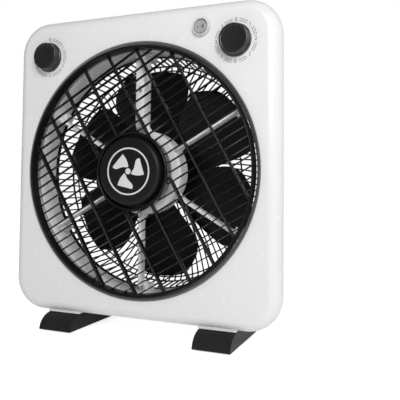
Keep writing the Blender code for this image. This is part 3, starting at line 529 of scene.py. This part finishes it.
def make_rear_case():
    inset = SEAM_INSET + 0.6
    reach = REAR_WALL - REAR_BEND
    outer = [(inset + 0.6, SEAM + 0.3), (inset + 0.2, SEAM + 0.5), (inset + 0.1, SEAM + 1.0)]
    outer += arc(REAR_INSET + reach, REAR_BEND, reach, reach, 180, 90, 9)
    stations = [("outline", size, depth) for size, depth in outer]
    stations += [("circle", REAR_OPENING + 0.6, REAR_WALL), ("circle", REAR_OPENING, REAR_WALL - 0.6),
                 ("circle", REAR_OPENING, REAR_WALL - WALL)]
    inner = arc(REAR_INSET + reach, REAR_BEND, reach - WALL, reach - WALL, 90, 180, 5)
    stations += [("outline", size, depth) for size, depth in inner]
    stations += [("outline", inset + WALL, SEAM + 0.3)]
    bm = bmesh.new()
    skin(bm, shell_loops(stations), closed=True)
    case = finish_mesh("rear_case_shell", bm, WHITE, "case", ["rear_case"], 30)
    holes = [(f"case_screw_{index}", 2.0) for index in (1, 2, 3, 4)]
    holes += [(f"grille_screw_{index}", 1.9) for index in (1, 2, 3, 4)]
    holes.append(("cord_gland", 5.6))
    cut(case, [hole_cutter(name, radius, 44, 54, 32) for name, radius in holes])


# ---------------------------------------------------------------- louvre

LOUVRE_ANGLE = 30.0
FIN_PITCH = 11.0
FIN_COUNT = 25
FIN_OFFSET = -1.7
RIB_PITCH = 36.9
RIB_COUNT = 7
RIM_INNER = 150.0
RIM_OUTER = 153.0
HUB_RADIUS = 48.7
HUB_REAR_RADIUS = 45.8   # the hub narrows towards the rear


def louvre_bars(angle, offset, reach, hub):
    """The stretches of a straight bar between the hub and the rim, as pairs of points on the louvre."""
    turn = Matrix.Rotation(math.radians(angle), 2)
    outer = math.sqrt(reach * reach - offset * offset)
    spans = [(-outer, outer)]
    if abs(offset) < hub:
        inner = math.sqrt(hub * hub - offset * offset)
        spans = [(-outer, -inner), (inner, outer)]
    return [(turn @ Vector((start, offset)), turn @ Vector((end, offset))) for start, end in spans]


def add_louvre_bars(bm, angle, offset, half_width, depth0, depth1, radius):
    middle = (depth0 + depth1) / 2
    section = rounded_section(half_width, (depth1 - depth0) / 2, radius)
    for start, end in louvre_bars(angle, offset, RIM_INNER + 1.5, HUB_REAR_RADIUS - 0.7):
        path = [place(point.x, middle, AXIS + point.y) for point in (start, end)]
        add_sweep(bm, path, [section, section])


def make_louvre():
    half_rim = (RIM_OUTER - RIM_INNER) / 2
    ring = [(RIM_OUTER, 6.4), (RIM_OUTER, -4.9)]
    ring += arc(RIM_INNER + half_rim, -4.9, half_rim, 1.6, 0, 180, 10)[1:] + [(RIM_INNER, 6.4)]
    turned_piece("louvre_ring", ring, CAP_BLACK, "louvre", ["louvre_grille"], 192, sharp=40)
    bm = bmesh.new()
    for index in range(FIN_COUNT):
        offset = FIN_OFFSET + FIN_PITCH * (index - (FIN_COUNT - 1) / 2)
        add_louvre_bars(bm, LOUVRE_ANGLE, offset, 0.6, 0.9, 5.9, 0.45)
    finish_mesh("louvre_slats", bm, LOUVRE_BLACK, "louvre")
    bm = bmesh.new()
    for index in range(RIB_COUNT):
        offset = RIB_PITCH * (index - (RIB_COUNT - 1) / 2)
        add_louvre_bars(bm, LOUVRE_ANGLE - 90, offset, 1.2, -0.5, 7.1, 0.8)
    finish_mesh("louvre_ribs", bm, LOUVRE_BLACK, "louvre")
    inner = HUB_REAR_RADIUS - 2.4
    hub = [(HUB_REAR_RADIUS, 9), (HUB_RADIUS, -9.2)] + arc(46.9, -9.2, 1.8, 1.8, 0, 180, 8)[1:]
    hub += [(45.1, -0.8), (8, -0.8), (8, -5), (3.5, -5), (3.5, 9), (8, 9), (8, 2), (inner, 2), (inner, 9)]
    turned_piece("louvre_hub", hub, LOUVRE_BLACK, "louvre", segments=128)
    make_hub_cap()


def make_hub_cap():
    front = depths_of("louvre_hub_cap")[0]
    cap = [(0, front), (20, front + 0.05), (34, front + 0.3)]
    cap += arc(36.6, front + 5.3, 5.0, 5.0, 270, 360, 8)
    cap += [(41.6, -1.2), (39.6, -1.2), (39.2, -9.0), (35, front + 2.4), (0, front + 2.4)]
    turned_piece("hub_cap_disc", cap, CAP_BLACK, "louvre", ["louvre_hub_cap"], 128)
    print_front, print_rear = front - 0.02, front + 0.16
    ring = [(26.7, print_rear), (26.7, print_front), (28.6, print_front), (28.6, print_rear)]
    turned_piece("hub_print_ring", ring, HUB_INK, "louvre", segments=128)
    make_hub_sign(front)


def make_hub_sign(front):
    """A plain fan sign: three round blades about a small hub, in pale ink."""
    sign_front, sign_rear = front - 0.05, front + 0.4
    bm = bmesh.new()
    add_turned(bm, [(0, sign_front), (3.6, sign_front), (3.6, sign_rear), (0, sign_rear)], 48)
    steps = 18
    root, length = 5.4, 16.6
    for blade in range(3):
        middle = 120 * blade + 90
        outline = []
        for step in range(steps + 1):
            share = step / steps
            outline.append((root + length * share, middle - 6 + 26 * share ** 0.8))
        for step in range(steps + 1):
            share = 1 - step / steps
            bulge = 52 * math.sin(math.pi * min(share * 0.62 + 0.12, 1)) ** 0.9
            outline.append((root + length * share, middle + 10 + 26 * share ** 0.8 + bulge))
        flat = [on_circle(radius, angle) for radius, angle in outline]
        skin(bm, [[place(u, depth, v) for u, v in flat] for depth in (sign_front, sign_rear)])
    finish_mesh("hub_print_sign", bm, HUB_INK, "louvre")


# ---------------------------------------------------------------- spider

HOUSING = 53.0
HOUSING_FRONT = 20.0
HOUSING_REAR = 42.5
ARM_ROOT = 50.8          # inside the housing's wall
ARM_END = 149.4
RIB_END = 143.0
RIB_DEPTHS = (15.0, 28.0)
TOP_ARM_DEPTHS = (11.0, 31.0)
FOOT_DEPTHS = (27.0, 31.0)
TOP_ARM_HALF = 5.75
RIB_HALF = 1.9
POST_RADIUS = 41.0       # the circle of the motor's posts


def make_spider():
    """The drum with its five ribs and their feet, the roots of all six arms, and the motor's posts."""
    drum = [(HOUSING, HOUSING_REAR)] + arc(HOUSING - 4, HOUSING_FRONT + 4, 4, 4, 0, -90, 8)
    drum += [(6.5, HOUSING_FRONT), (6, HOUSING_FRONT + 0.5), (6, HOUSING_FRONT + WALL),
             (HOUSING - WALL, HOUSING_FRONT + WALL), (HOUSING - WALL, HOUSING_REAR)]
    bm = bmesh.new()
    add_turned(bm, drum, 128)
    for angle in ARM_ANGLES:
        top = angle == 90
        if not top:
            add_arm(bm, angle, RIB_DEPTHS, RIB_END, RIB_HALF, 1.1)
            add_bar(bm, angle, [(RIB_END - 4, 6.0), (ARM_END, 6.0)], FOOT_DEPTHS, 0.9)
        flare = [(radius, (5.2 if top else 1.5) + 8.0 * math.exp((ARM_ROOT - radius) / 5.5))
                 for radius in range(51, 74, 2)]
        add_bar(bm, angle, flare, (HOUSING_FRONT + 2.2, RIB_DEPTHS[1] - 0.7), 1.4)
    for angle in DIAGONALS:
        x, height = on_circle(POST_RADIUS, angle)
        add_turned(bm, [(1.6, 21), (2.7, 21), (2.7, 50), (1.6, 50)], 24, x, height)
    # The spider takes the brighter white: painted light
    finish_mesh("spider_frame", bm, WHITE_PAINTED_LIGHT, "case", ["motor_spider"], 34)
    make_top_arm()


def make_top_arm():
    """The wide arm, with the wires' channel in its rear and a small slot through its front."""
    bm = bmesh.new()
    add_arm(bm, 90, TOP_ARM_DEPTHS, ARM_END, TOP_ARM_HALF, 1.3)
    # The top arm takes the brighter white: painted light
    arm = finish_mesh("spider_top_arm", bm, WHITE_PAINTED_LIGHT, "case", (), 34)
    channel, channel_at_drum, slot = ((-3.6, 3.6, 13.6, 32, 62, 152), (-3.6, 3.6, 24, 32, 48, 64),
                                      (-1.6, 2.4, 10, 20, 99, 107))
    cutters = []
    for x0, x1, depth0, depth1, low, high in (channel, channel_at_drum, slot):
        cutter = bmesh.new()
        add_box(cutter, x0, x1, depth0, depth1, AXIS + low, AXIS + high)
        cutters.append(cutter)
    cut(arm, cutters)


def arm_frame(angle):
    """The ways outward and sideways for an arm at an angle."""
    turn = math.radians(angle)
    return Vector((math.cos(turn), 0, math.sin(turn))), Vector((math.sin(turn), 0, -math.cos(turn)))


def add_bar(bm, angle, stations, depths, rounding):
    """A flat bar outward from the axis, through (radius, half width) stations."""
    outward, side = arm_frame(angle)
    middle = (depths[0] + depths[1]) / 2
    path = [place(0, middle, AXIS) + outward * radius * MM for radius, _ in stations]
    sections = [rounded_section(half, (depths[1] - depths[0]) / 2, rounding) for _, half in stations]
    add_sweep(bm, path, sections, side)


def add_arm(bm, angle, depths, end, half_width, rounding):
    """A deep straight arm that slopes down to the drum's front at its root."""
    outward, side = arm_frame(angle)
    root = HOUSING_FRONT + 1.5
    stations = [(ARM_ROOT, root), (56, root - (root - depths[0]) * 0.6), (60, depths[0]), (62, depths[0]),
                (end, depths[0])]
    path = []
    sections = []
    for radius, front in stations:
        path.append(place(0, (front + depths[1]) / 2, AXIS) + outward * radius * MM)
        sections.append(rounded_section(half_width, (depths[1] - front) / 2, rounding))
    add_sweep(bm, path, sections, side)


# ---------------------------------------------------------------- impeller

BLADE_COUNT = 6
BLADE_PHASE = 32.6
BLADE_TIP = 137.5
BLADE_ROOT = 42.8
BLADE_REAR = 80.0        # the depth of a blade's leading edge


def blade_point(angle, share, chord, side):
    """A point of a blade: share runs from root to tip, chord from the leading to the trailing edge,
    and side is -1 on the front and 1 on the rear."""
    leading = -33 + 14 * share ** 0.6
    trailing = 28 + 5.5 * math.sin(math.pi * share * 0.9) - 8 * share ** 5
    corner = abs(2 * chord - 1) ** 7 * 9 * share ** 6
    radius = BLADE_ROOT + (BLADE_TIP - BLADE_ROOT) * share - corner
    turn = angle + leading + (trailing - leading) * chord
    trail_depth = 65 - 8.5 * share
    camber = 3.2 * math.sin(math.pi * chord)
    thickness = (1.3 - 0.5 * share) * (0.3 + 0.7 * math.sin(math.pi * (0.04 + 0.92 * chord)) ** 0.7)
    depth = BLADE_REAR + (trail_depth - BLADE_REAR) * chord + camber + side * thickness
    u, v = on_circle(radius, turn)
    return place(u, depth, v)


def add_blade(bm, angle):
    radial, across = 22, 18
    loops = []
    for i in range(radial + 1):
        share = i / radial
        loop = [blade_point(angle, share, j / across, -1) for j in range(across + 1)]
        loop += [blade_point(angle, share, j / across, 1) for j in range(across, -1, -1)]
        loops.append(loop)
    skin(bm, loops)


def make_impeller():
    bm = bmesh.new()
    hub = [(41.6, 63.4), (43.6, 63.4), (44, 63.9), (44, 79.6)] + arc(41, 80, 3, 3, 0, 90, 6)[1:]
    hub += [(9.5, 83), (9.2, 83), (4.4, 83), (4.4, 72), (9, 72), (9, 80.4), (41.6, 80.4)]
    add_turned(bm, hub, 128)
    for index in range(BLADE_COUNT):
        add_blade(bm, BLADE_PHASE + 360 / BLADE_COUNT * index)
    finish_mesh("impeller_fan", bm, BLADE_BLACK, "fan_rotor", ["impeller"], 42)


# ---------------------------------------------------------------- rear grille

CAGE_BARS = 104
CAGE_EDGE = 141.6        # where the bars turn from the wall to the rear
BAR_REAR = 88.2
BAR_TWIST = 16.0         # degrees between a bar's start and the axis
INNER_RING = 78.0
LONG_BAR_END = 39.0


def grille_path(angle, last_radius):
    """A bar from the flange, along the cage's wall, round its edge and inward to a radius."""
    points = [(149.6, 51.0), (148.9, 56), (148.2, 64), (147.4, 74), (146.6, 80)]
    points += arc(CAGE_EDGE, 82.6, 5.0, 5.4, 0, 90, 6)
    radius = 136.0
    while radius > last_radius + 1:
        points.append((radius, BAR_REAR))
        radius -= 8.0
    points.append((last_radius, BAR_REAR))
    path = []
    for radius, depth in points:
        twist = BAR_TWIST * (1 - min(radius, 146) / 146) ** 1.1
        u, v = on_circle(radius, angle + twist)
        path.append(place(u, depth, v))
    return path


def make_rear_grille():
    end = depths_of("rear_grille")[1]
    bm = bmesh.new()
    flange = [(150.2, 50.4), (163, 50.4), (163, 52.8), (162.5, 53.3), (150.8, 53.3), (150.2, 52.7)]
    add_turned(bm, flange, 192)
    rear_ring = [(147.4, 81.4), (147.0, 83.4), (145.6, 83.4), (146.0, 81.4)]
    add_turned(bm, rear_ring, 160)
    for radius, half in ((CAGE_EDGE, 1.0), (110.0, 1.1), (INNER_RING, 1.1)):
        add_turned(bm, arc(radius, 88.0, half, 1.2, 0, 330, 11), 144)
    centre = [(0, 86.2), (40, 86.2), (40.6, 86.8), (40.6, 88.6), (40, 89.2), (36, 89.6)]
    centre += [(34, 89.0), (12, 89.0), (10, 89.8), (0, end)]
    add_turned(bm, centre, 96)
    section = rounded_section(0.9, 1.15, 0.7, 2)
    for index in range(CAGE_BARS):
        path = grille_path(360 / CAGE_BARS * index, LONG_BAR_END if index % 2 == 0 else INNER_RING)
        add_sweep(bm, path, [section] * len(path))
    finish_mesh("rear_cage", bm, GRILLE_BLACK, "case", ["rear_grille"], 50)


# ---------------------------------------------------------------- controls

SCALE_RADII = (22.4, 24.7)
SCALE_WIDTH = 0.55
LABEL_RADIUS = 23.6
LABEL_SIZE = 6.2


def make_knob(kind, labels, pitch, gap, bands):
    """A knob with a raised pointer, and its dial. The numbers stand a pitch apart, in degrees, clockwise
    from the top, with double bands between them that keep a gap from each number."""
    x, _, height = centre_of(f"{kind}_knob")
    front = depths_of(f"{kind}_knob")[0]
    top = front + 0.1
    body = f"{kind}_control"
    profile = [(0, top + 0.5), (13.9, top + 0.5), (14.5, top + 0.3)]
    profile += arc(15.6, top + 1.2, 1.3, 1.2, 250, 360, 6)
    profile += [(17.1, -3.7), (17.3, -3.2), (17.8, -2.9), (18.4, -2.7), (18.8, -2.2), (18.8, -1.1)]
    profile += [(18.5, -0.8), (3.4, -0.8), (3.4, -9), (0, -9)]
    turned_piece(f"{kind}_knob_body", profile, KNOB_BLACK, body, [f"{kind}_knob"], 96, x,
                 height, 40)
    bm = bmesh.new()
    add_box(bm, x - 0.55, x + 0.55, top + 0.05, top + 1.0, height + 4.6, height + 13.8)
    finish_mesh(f"{kind}_pointer", bm, CAP_BLACK, body, bevel=0.2)
    bm = bmesh.new()
    for radius in SCALE_RADII:
        for band in range(bands):
            start = 90 - pitch * band
            add_arc_band(bm, x, height, radius, start - gap, start - (pitch - gap))
    finish_mesh(f"{kind}_scale", bm, GREY_INK, "case")
    for index, label in enumerate(labels):
        u, v = on_circle(LABEL_RADIUS, 90 - pitch * index, x, height)
        add_label(f"{kind}_label_{index}", label, u, v)


def add_arc_band(bm, x, height, radius, start, end):
    """A thin printed band along part of a circle, standing just proud of the face."""
    half, front, rear = SCALE_WIDTH / 2, -0.06, 0.05
    steps = max(int(abs(end - start) / 3), 2)
    loops = []
    for step in range(steps + 1):
        angle = start + (end - start) * step / steps
        loop = []
        for offset, depth in ((-half, front), (half, front), (half, rear), (-half, rear)):
            u, v = on_circle(radius + offset, angle, x, height)
            loop.append(place(u, depth, v))
        loops.append(loop)
    skin(bm, loops)


def add_label(name, text, x, height):
    """A plain number of a dial, as a thin mesh on the face."""
    curve = bpy.data.curves.new(name, "FONT")
    curve.body = text
    curve.size = LABEL_SIZE * MM
    curve.align_x = "CENTER"
    curve.align_y = "CENTER"
    curve.extrude = 0.04 * MM
    holder = bpy.data.objects.new(name, curve)
    bpy.context.collection.objects.link(holder)
    depsgraph = bpy.context.evaluated_depsgraph_get()
    mesh = bpy.data.meshes.new_from_object(holder.evaluated_get(depsgraph))
    bpy.data.objects.remove(holder, do_unlink=True)
    mesh.transform(Matrix.Rotation(math.radians(90), 4, "X"))
    mesh.transform(Matrix.Translation(place(x, -0.02, height)))
    mesh.materials.clear()
    mesh.materials.append(GREY_INK)
    label = bpy.data.objects.new(name, mesh)
    bpy.context.collection.objects.link(label)
    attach(label, "case")


def make_rocker_switch():
    x, _, height = centre_of("rocker_switch_body")
    bezel = [(9.8, 16), (9.8, -0.3), (11.0, -0.3), (11.0, -1.1), (10.8, -1.8)]
    bezel += arc(9.2, -3.9, 0.7, 0.7, -20, -150, 6) + [(8.6, -3.8), (8.6, 16)]
    turned_piece("rocker_bezel", bezel, BEZEL, "case", ["rocker_switch_body"], 96, x, height)
    turned_piece("rocker_backing", [(0, 6), (8.6, 6), (8.6, 18), (0, 18)], NATURAL, "case",
                 (), 64, x, height)
    make_rocker(x, height)


def make_rocker(x, height):
    """The round rocker, hollowed across its middle and tipped as its solid rests, with its two marks.
    Both are made upright about x 0 and height 0, at their depth, and then put in place."""
    pivot_depth = -1.0
    tip = Matrix.Rotation(math.radians(-9), 4, "Z")
    lift = Matrix.Translation(Vector((0, -pivot_depth, 0)) * MM)
    settle = Matrix.Translation(place(x, pivot_depth, height)) @ tip @ lift
    steps, around = 14, 64
    outer = 7.9
    loops = [[] for _ in range(steps + 3)]
    for turn_index in range(around):
        turn = 2 * math.pi * turn_index / around
        for step in range(steps + 1):
            radius = max(outer * step / steps, AXIS_GAP) - (0.25 if step == steps else 0)
            u = radius * math.cos(turn)
            dish = 1.4 * (1 - (u / outer) ** 2)
            crown = -4.6 + dish * 0.85 + (0.3 if step == steps else 0)
            loops[step].append(Vector((u, crown, radius * math.sin(turn))) * MM)
        for index, depth in ((steps + 1, -3.8), (steps + 2, 1.1)):
            loops[index].append(Vector((outer * math.cos(turn), depth, outer * math.sin(turn))) * MM)
    pad = bmesh.new()
    skin(pad, loops)
    pad.transform(settle)
    finish_mesh("rocker_pad", pad, GREY, "power_rocker", ["rocker"], 40)
    marks = bmesh.new()
    add_turned(marks, [(0.6, -4.1), (1.45, -4.1), (1.45, -2.8), (0.6, -2.8)], 32, 3.6, 0)
    marks.transform(Matrix.Translation(Vector((0, -FACE, 0))))
    corners = ((-4.6, -0.35), (-2.2, -0.35), (-2.2, 0.35), (-4.6, 0.35))
    skin(marks, [[Vector((u, depth, v)) * MM for u, v in corners] for depth in (-4.0, -2.6)])
    marks.transform(settle)
    finish_mesh("rocker_marks", marks, GREY_INK, "power_rocker")


# ---------------------------------------------------------------- feet

def make_foot(name):
    low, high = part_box(name)
    x0, x1 = low.x / MM, high.x / MM
    front, rear = depths_of(name)
    bottom, top = low.z / MM, high.z / MM
    outline = arc(front + 26, bottom, 26, top - bottom, 176, 90, 16)
    outline = [(front + 0.6, bottom)] + outline
    outline += [(rear - 22, top), (rear - 2, bottom + 8), (rear, bottom + 5), (rear, bottom)]
    bm = bmesh.new()
    loops = [[place(x, depth, height) for depth, height in outline] for x in (x0, x1)]
    skin(bm, loops)
    foot = finish_mesh(f"{name}_shell", bm, FOOT_BLACK, "case", [name], 30)
    cutters = []
    for index in (1, 2):
        x, depth, _ = centre_of(f"{name}_screw_{index}")
        well = bmesh.new()
        add_upright(well, [(0, bottom - 1), (4.5, bottom - 1), (4.5, 16), (0, 16)], x, depth, 32)
        cutters.append(well)
    cut(foot, cutters)
    foot.data.set_sharp_from_angle(angle=math.radians(30))
    bevel_edges(foot, 1.5, 4, 50)


def add_upright(bm, profile, x, depth, segments):
    """Revolve (radius, height) points about an upright axis."""
    solid = profile[0][0] == 0
    loops = []
    for radius, height in profile:
        size = max(radius, AXIS_GAP)
        loop = []
        for step in range(segments):
            turn = 2 * math.pi * step / segments
            loop.append(place(x + size * math.cos(turn), depth + size * math.sin(turn), height))
        loops.append(loop)
    skin(bm, loops, closed=not solid)


def make_pads():
    profile = [(0, 0), (5.2, 0), (5.6, 0.4), (6.6, 0.4), (7.0, 0), (8.5, 0), (9, 0.4), (9, 1.5), (0, 1.5)]
    for side in ("left", "right"):
        for index in (1, 2):
            name = f"foot_{side}_pad_{index}"
            x, depth, _ = centre_of(name)
            bm = bmesh.new()
            add_upright(bm, profile, x, depth, 64)
            finish_mesh(f"{name}_disc", bm, RUBBER, "case", [name])


# ---------------------------------------------------------------- fasteners and the cord gland

def make_screw(name, head_radius, shank_radius, head_in_front):
    """A pan head screw with a cross recess, in the place of the CAD one."""
    x, _, height = centre_of(name)
    first, last = depths_of(name)
    head = 2.1
    sign = 1 if head_in_front else -1
    seat = first + head if head_in_front else last - head
    top = first if head_in_front else last
    tip = last if head_in_front else first
    profile = [(0, top), (head_radius * 0.45, top + sign * 0.08), (head_radius * 0.8, top + sign * 0.5),
               (head_radius, top + sign * 1.2), (head_radius, seat), (shank_radius, seat),
               (shank_radius, tip - sign * 1.5), (shank_radius * 0.4, tip), (0, tip)]
    screw = turned_piece(f"{name}_fine", profile, STEEL, "case", [name], 48, x, height)
    cutters = []
    for half_u, half_v in ((head_radius * 0.55, 0.35), (0.35, head_radius * 0.55)):
        slot = bmesh.new()
        depth0, depth1 = sorted((top - sign * 0.5, top + sign * 1.3))
        add_box(slot, x - half_u, x + half_u, depth0, depth1, height - half_v, height + half_v)
        cutters.append(slot)
    cut(screw, cutters)


def make_fasteners():
    for index in (1, 2, 3, 4):
        make_screw(f"case_screw_{index}", 3.2, 1.45, False)
        make_screw(f"grille_screw_{index}", 3.2, 1.45, False)
    for index in (1, 2, 3):
        make_screw(f"spider_screw_{index}", 2.6, 1.2, True)


def make_gland():
    x, _, height = centre_of("cord_gland")
    end = depths_of("cord_gland")[1]
    profile = [(3.3, 40), (5.3, 40), (5.3, REAR_WALL + 0.3), (8.5, REAR_WALL + 0.3), (8.5, REAR_WALL + 1.9),
               (8.1, REAR_WALL + 2.3), (7.0, REAR_WALL + 2.6), (6.2, end - 0.6), (5.7, end), (3.3, end)]
    turned_piece("gland_bush", profile, CAP_BLACK, "case", ["cord_gland"], 64, x, height)


# ---------------------------------------------------------------- CAD nodes that keep their shape

KEPT = {
    "louvre_drive_shaft": STEEL, "louvre_retaining_nut": STEEL, "impeller_lock_nut": STEEL,
    "motor_shaft": STEEL, "motor_front_bearing": STEEL, "motor_rear_bearing": STEEL,
    "timer_spindle": STEEL, "speed_spindle": STEEL, "motor_front_bell": ALUMINIUM,
    "motor_rear_bell": ALUMINIUM, "louvre_gearmotor": ALUMINIUM, "motor_rotor": LAMINATIONS,
    "motor_stator": LAMINATIONS, "motor_front_winding": COPPER, "motor_rear_winding": COPPER,
    "timer_body": NATURAL, "speed_body": NATURAL, "motor_capacitor": NATURAL,
    "terminal_block": NATURAL, "wiring_loom": SHEATH,
}
KEPT.update({f"motor_screw_{index}": STEEL for index in (1, 2, 3, 4)})
KEPT.update({f"foot_{side}_screw_{index}": STEEL for side in ("left", "right") for index in (1, 2)})


def finish_kept_nodes():
    for name, material in KEPT.items():
        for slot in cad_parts[name].material_slots:
            slot.material = material


# ---------------------------------------------------------------- studio

DOME = 0.50                         # strength of the white dome
DARK_SIDE = (-0.37, -0.93, 0.0)     # the dome is dark towards here
KEY_PLACE = (0.62, -1.0, 0.8)       # in metres, as are the target and the size
KEY_TARGET = (0, 0, 0.2)
KEY_SIZE = 0.7
KEY_POWER = 11.0
FLOOR_GLOW = 0.22                   # the floor's own light on the fan
FLOOR_GLOW_SEEN = 0.5               # what the camera sees of it besides


def make_floor():
    material, tree, shader = start_material("studio_floor")
    soft = noise(tree, scaled_position(tree), 400.0)
    tree.links.new(tinted(tree, soft, (0.9, 0.9, 0.9), 0.01), shader.inputs["Base Color"])
    shader.inputs["Roughness"].default_value = 0.9
    shader.inputs["Emission Color"].default_value = (1, 1, 1, 1)
    glow = node(tree, "ShaderNodeMath", operation="MULTIPLY_ADD")
    glow.inputs[1].default_value = FLOOR_GLOW_SEEN
    glow.inputs[2].default_value = FLOOR_GLOW
    tree.links.new(node(tree, "ShaderNodeLightPath").outputs["Is Camera Ray"], glow.inputs[0])
    tree.links.new(glow.outputs["Value"], shader.inputs["Emission Strength"])
    bm = bmesh.new()
    bmesh.ops.create_grid(bm, x_segments=4, y_segments=4, size=60.0)
    mesh = bpy.data.meshes.new("studio_floor")
    bm.to_mesh(mesh)
    bm.free()
    mesh.materials.append(material)
    floor = bpy.data.objects.new("studio_floor", mesh)
    bpy.context.collection.objects.link(floor)


def make_world():
    """White where the camera looks, and for the light a dome that is darkest to the camera's left,
    brightest on the right and dimmer overhead."""
    world = bpy.data.worlds.new("studio")
    world.use_nodes = True
    tree = world.node_tree
    tree.nodes.clear()
    output = node(tree, "ShaderNodeOutputWorld")
    seen = node(tree, "ShaderNodeBackground")
    seen.inputs["Color"].default_value = (1, 1, 1, 1)
    light = node(tree, "ShaderNodeBackground")
    light.inputs["Color"].default_value = (1, 1, 1, 1)
    direction = node(tree, "ShaderNodeTexCoord").outputs["Generated"]
    away = sky_ramp(tree, direction, DARK_SIDE, (0.45, 0.95), (DOME, DOME * 0.35))
    rightward = sky_ramp(tree, direction, (1, 0, 0.2), (-1, 1), (0.7, 1.65))
    level = sky_ramp(tree, direction, (0, 0, 1), (0.1, 0.9), (1, 0.55))
    strength = away
    for share in (rightward, level):
        product = node(tree, "ShaderNodeMath", operation="MULTIPLY")
        tree.links.new(strength, product.inputs[0])
        tree.links.new(share, product.inputs[1])
        strength = product.outputs["Value"]
    tree.links.new(strength, light.inputs["Strength"])
    mix = node(tree, "ShaderNodeMixShader")
    tree.links.new(node(tree, "ShaderNodeLightPath").outputs["Is Camera Ray"], mix.inputs["Fac"])
    tree.links.new(light.outputs["Background"], mix.inputs[1])
    tree.links.new(seen.outputs["Background"], mix.inputs[2])
    tree.links.new(mix.outputs["Shader"], output.inputs["Surface"])
    bpy.context.scene.world = world


def sky_ramp(tree, direction, towards, cosines, strengths):
    """A strength that changes smoothly with the angle from a direction in the sky."""
    product = node(tree, "ShaderNodeVectorMath", operation="DOT_PRODUCT")
    product.inputs[1].default_value = Vector(towards).normalized()
    tree.links.new(direction, product.inputs[0])
    return mapped(tree, product.outputs["Value"], cosines, strengths, interpolation_type="SMOOTHSTEP")


def make_key_light():
    """A square softbox, high on the right."""
    data = bpy.data.lights.new("key_softbox", "AREA")
    data.shape = "RECTANGLE"
    data.size = KEY_SIZE
    data.size_y = KEY_SIZE
    data.energy = KEY_POWER
    light = bpy.data.objects.new("key_softbox", data)
    light.location = KEY_PLACE
    light.rotation_euler = (Vector(KEY_TARGET) - Vector(KEY_PLACE)).to_track_quat("-Z", "Y").to_euler()
    bpy.context.collection.objects.link(light)


CAMERA_PLACE = (315.8, -575.2, CASE_MIDDLE - 28.6)    # x, depth and height
CAMERA_YAW = 21.68
CAMERA_PITCH = -1.01
CAMERA_ROLL = 0.89
LENS = 47.75


def make_camera():
    data = bpy.data.cameras.new("camera")
    data.lens = LENS
    data.sensor_width = 36.0
    data.clip_start = 0.01
    camera = bpy.data.objects.new("camera", data)
    turn = Matrix.Rotation(math.radians(CAMERA_YAW), 4, "Z")
    turn = turn @ Matrix.Rotation(math.radians(90 + CAMERA_PITCH), 4, "X")
    turn = turn @ Matrix.Rotation(math.radians(CAMERA_ROLL), 4, "Z")
    camera.matrix_world = Matrix.Translation(place(*CAMERA_PLACE)) @ turn
    bpy.context.collection.objects.link(camera)
    bpy.context.scene.camera = camera


# ---------------------------------------------------------------- the whole fan

bpy.context.scene.view_settings.view_transform = "Standard"
make_camera()
make_world()
make_key_light()
make_floor()
make_front_case()
make_rear_case()
make_louvre()
make_spider()
make_impeller()
make_rear_grille()
make_knob("timer", "012345", 60, 9, 5)
make_knob("speed", "01230123", 45, 10, 8)
make_rocker_switch()
make_foot("foot_left")
make_foot("foot_right")
make_pads()
make_fasteners()
make_gland()
finish_kept_nodes()
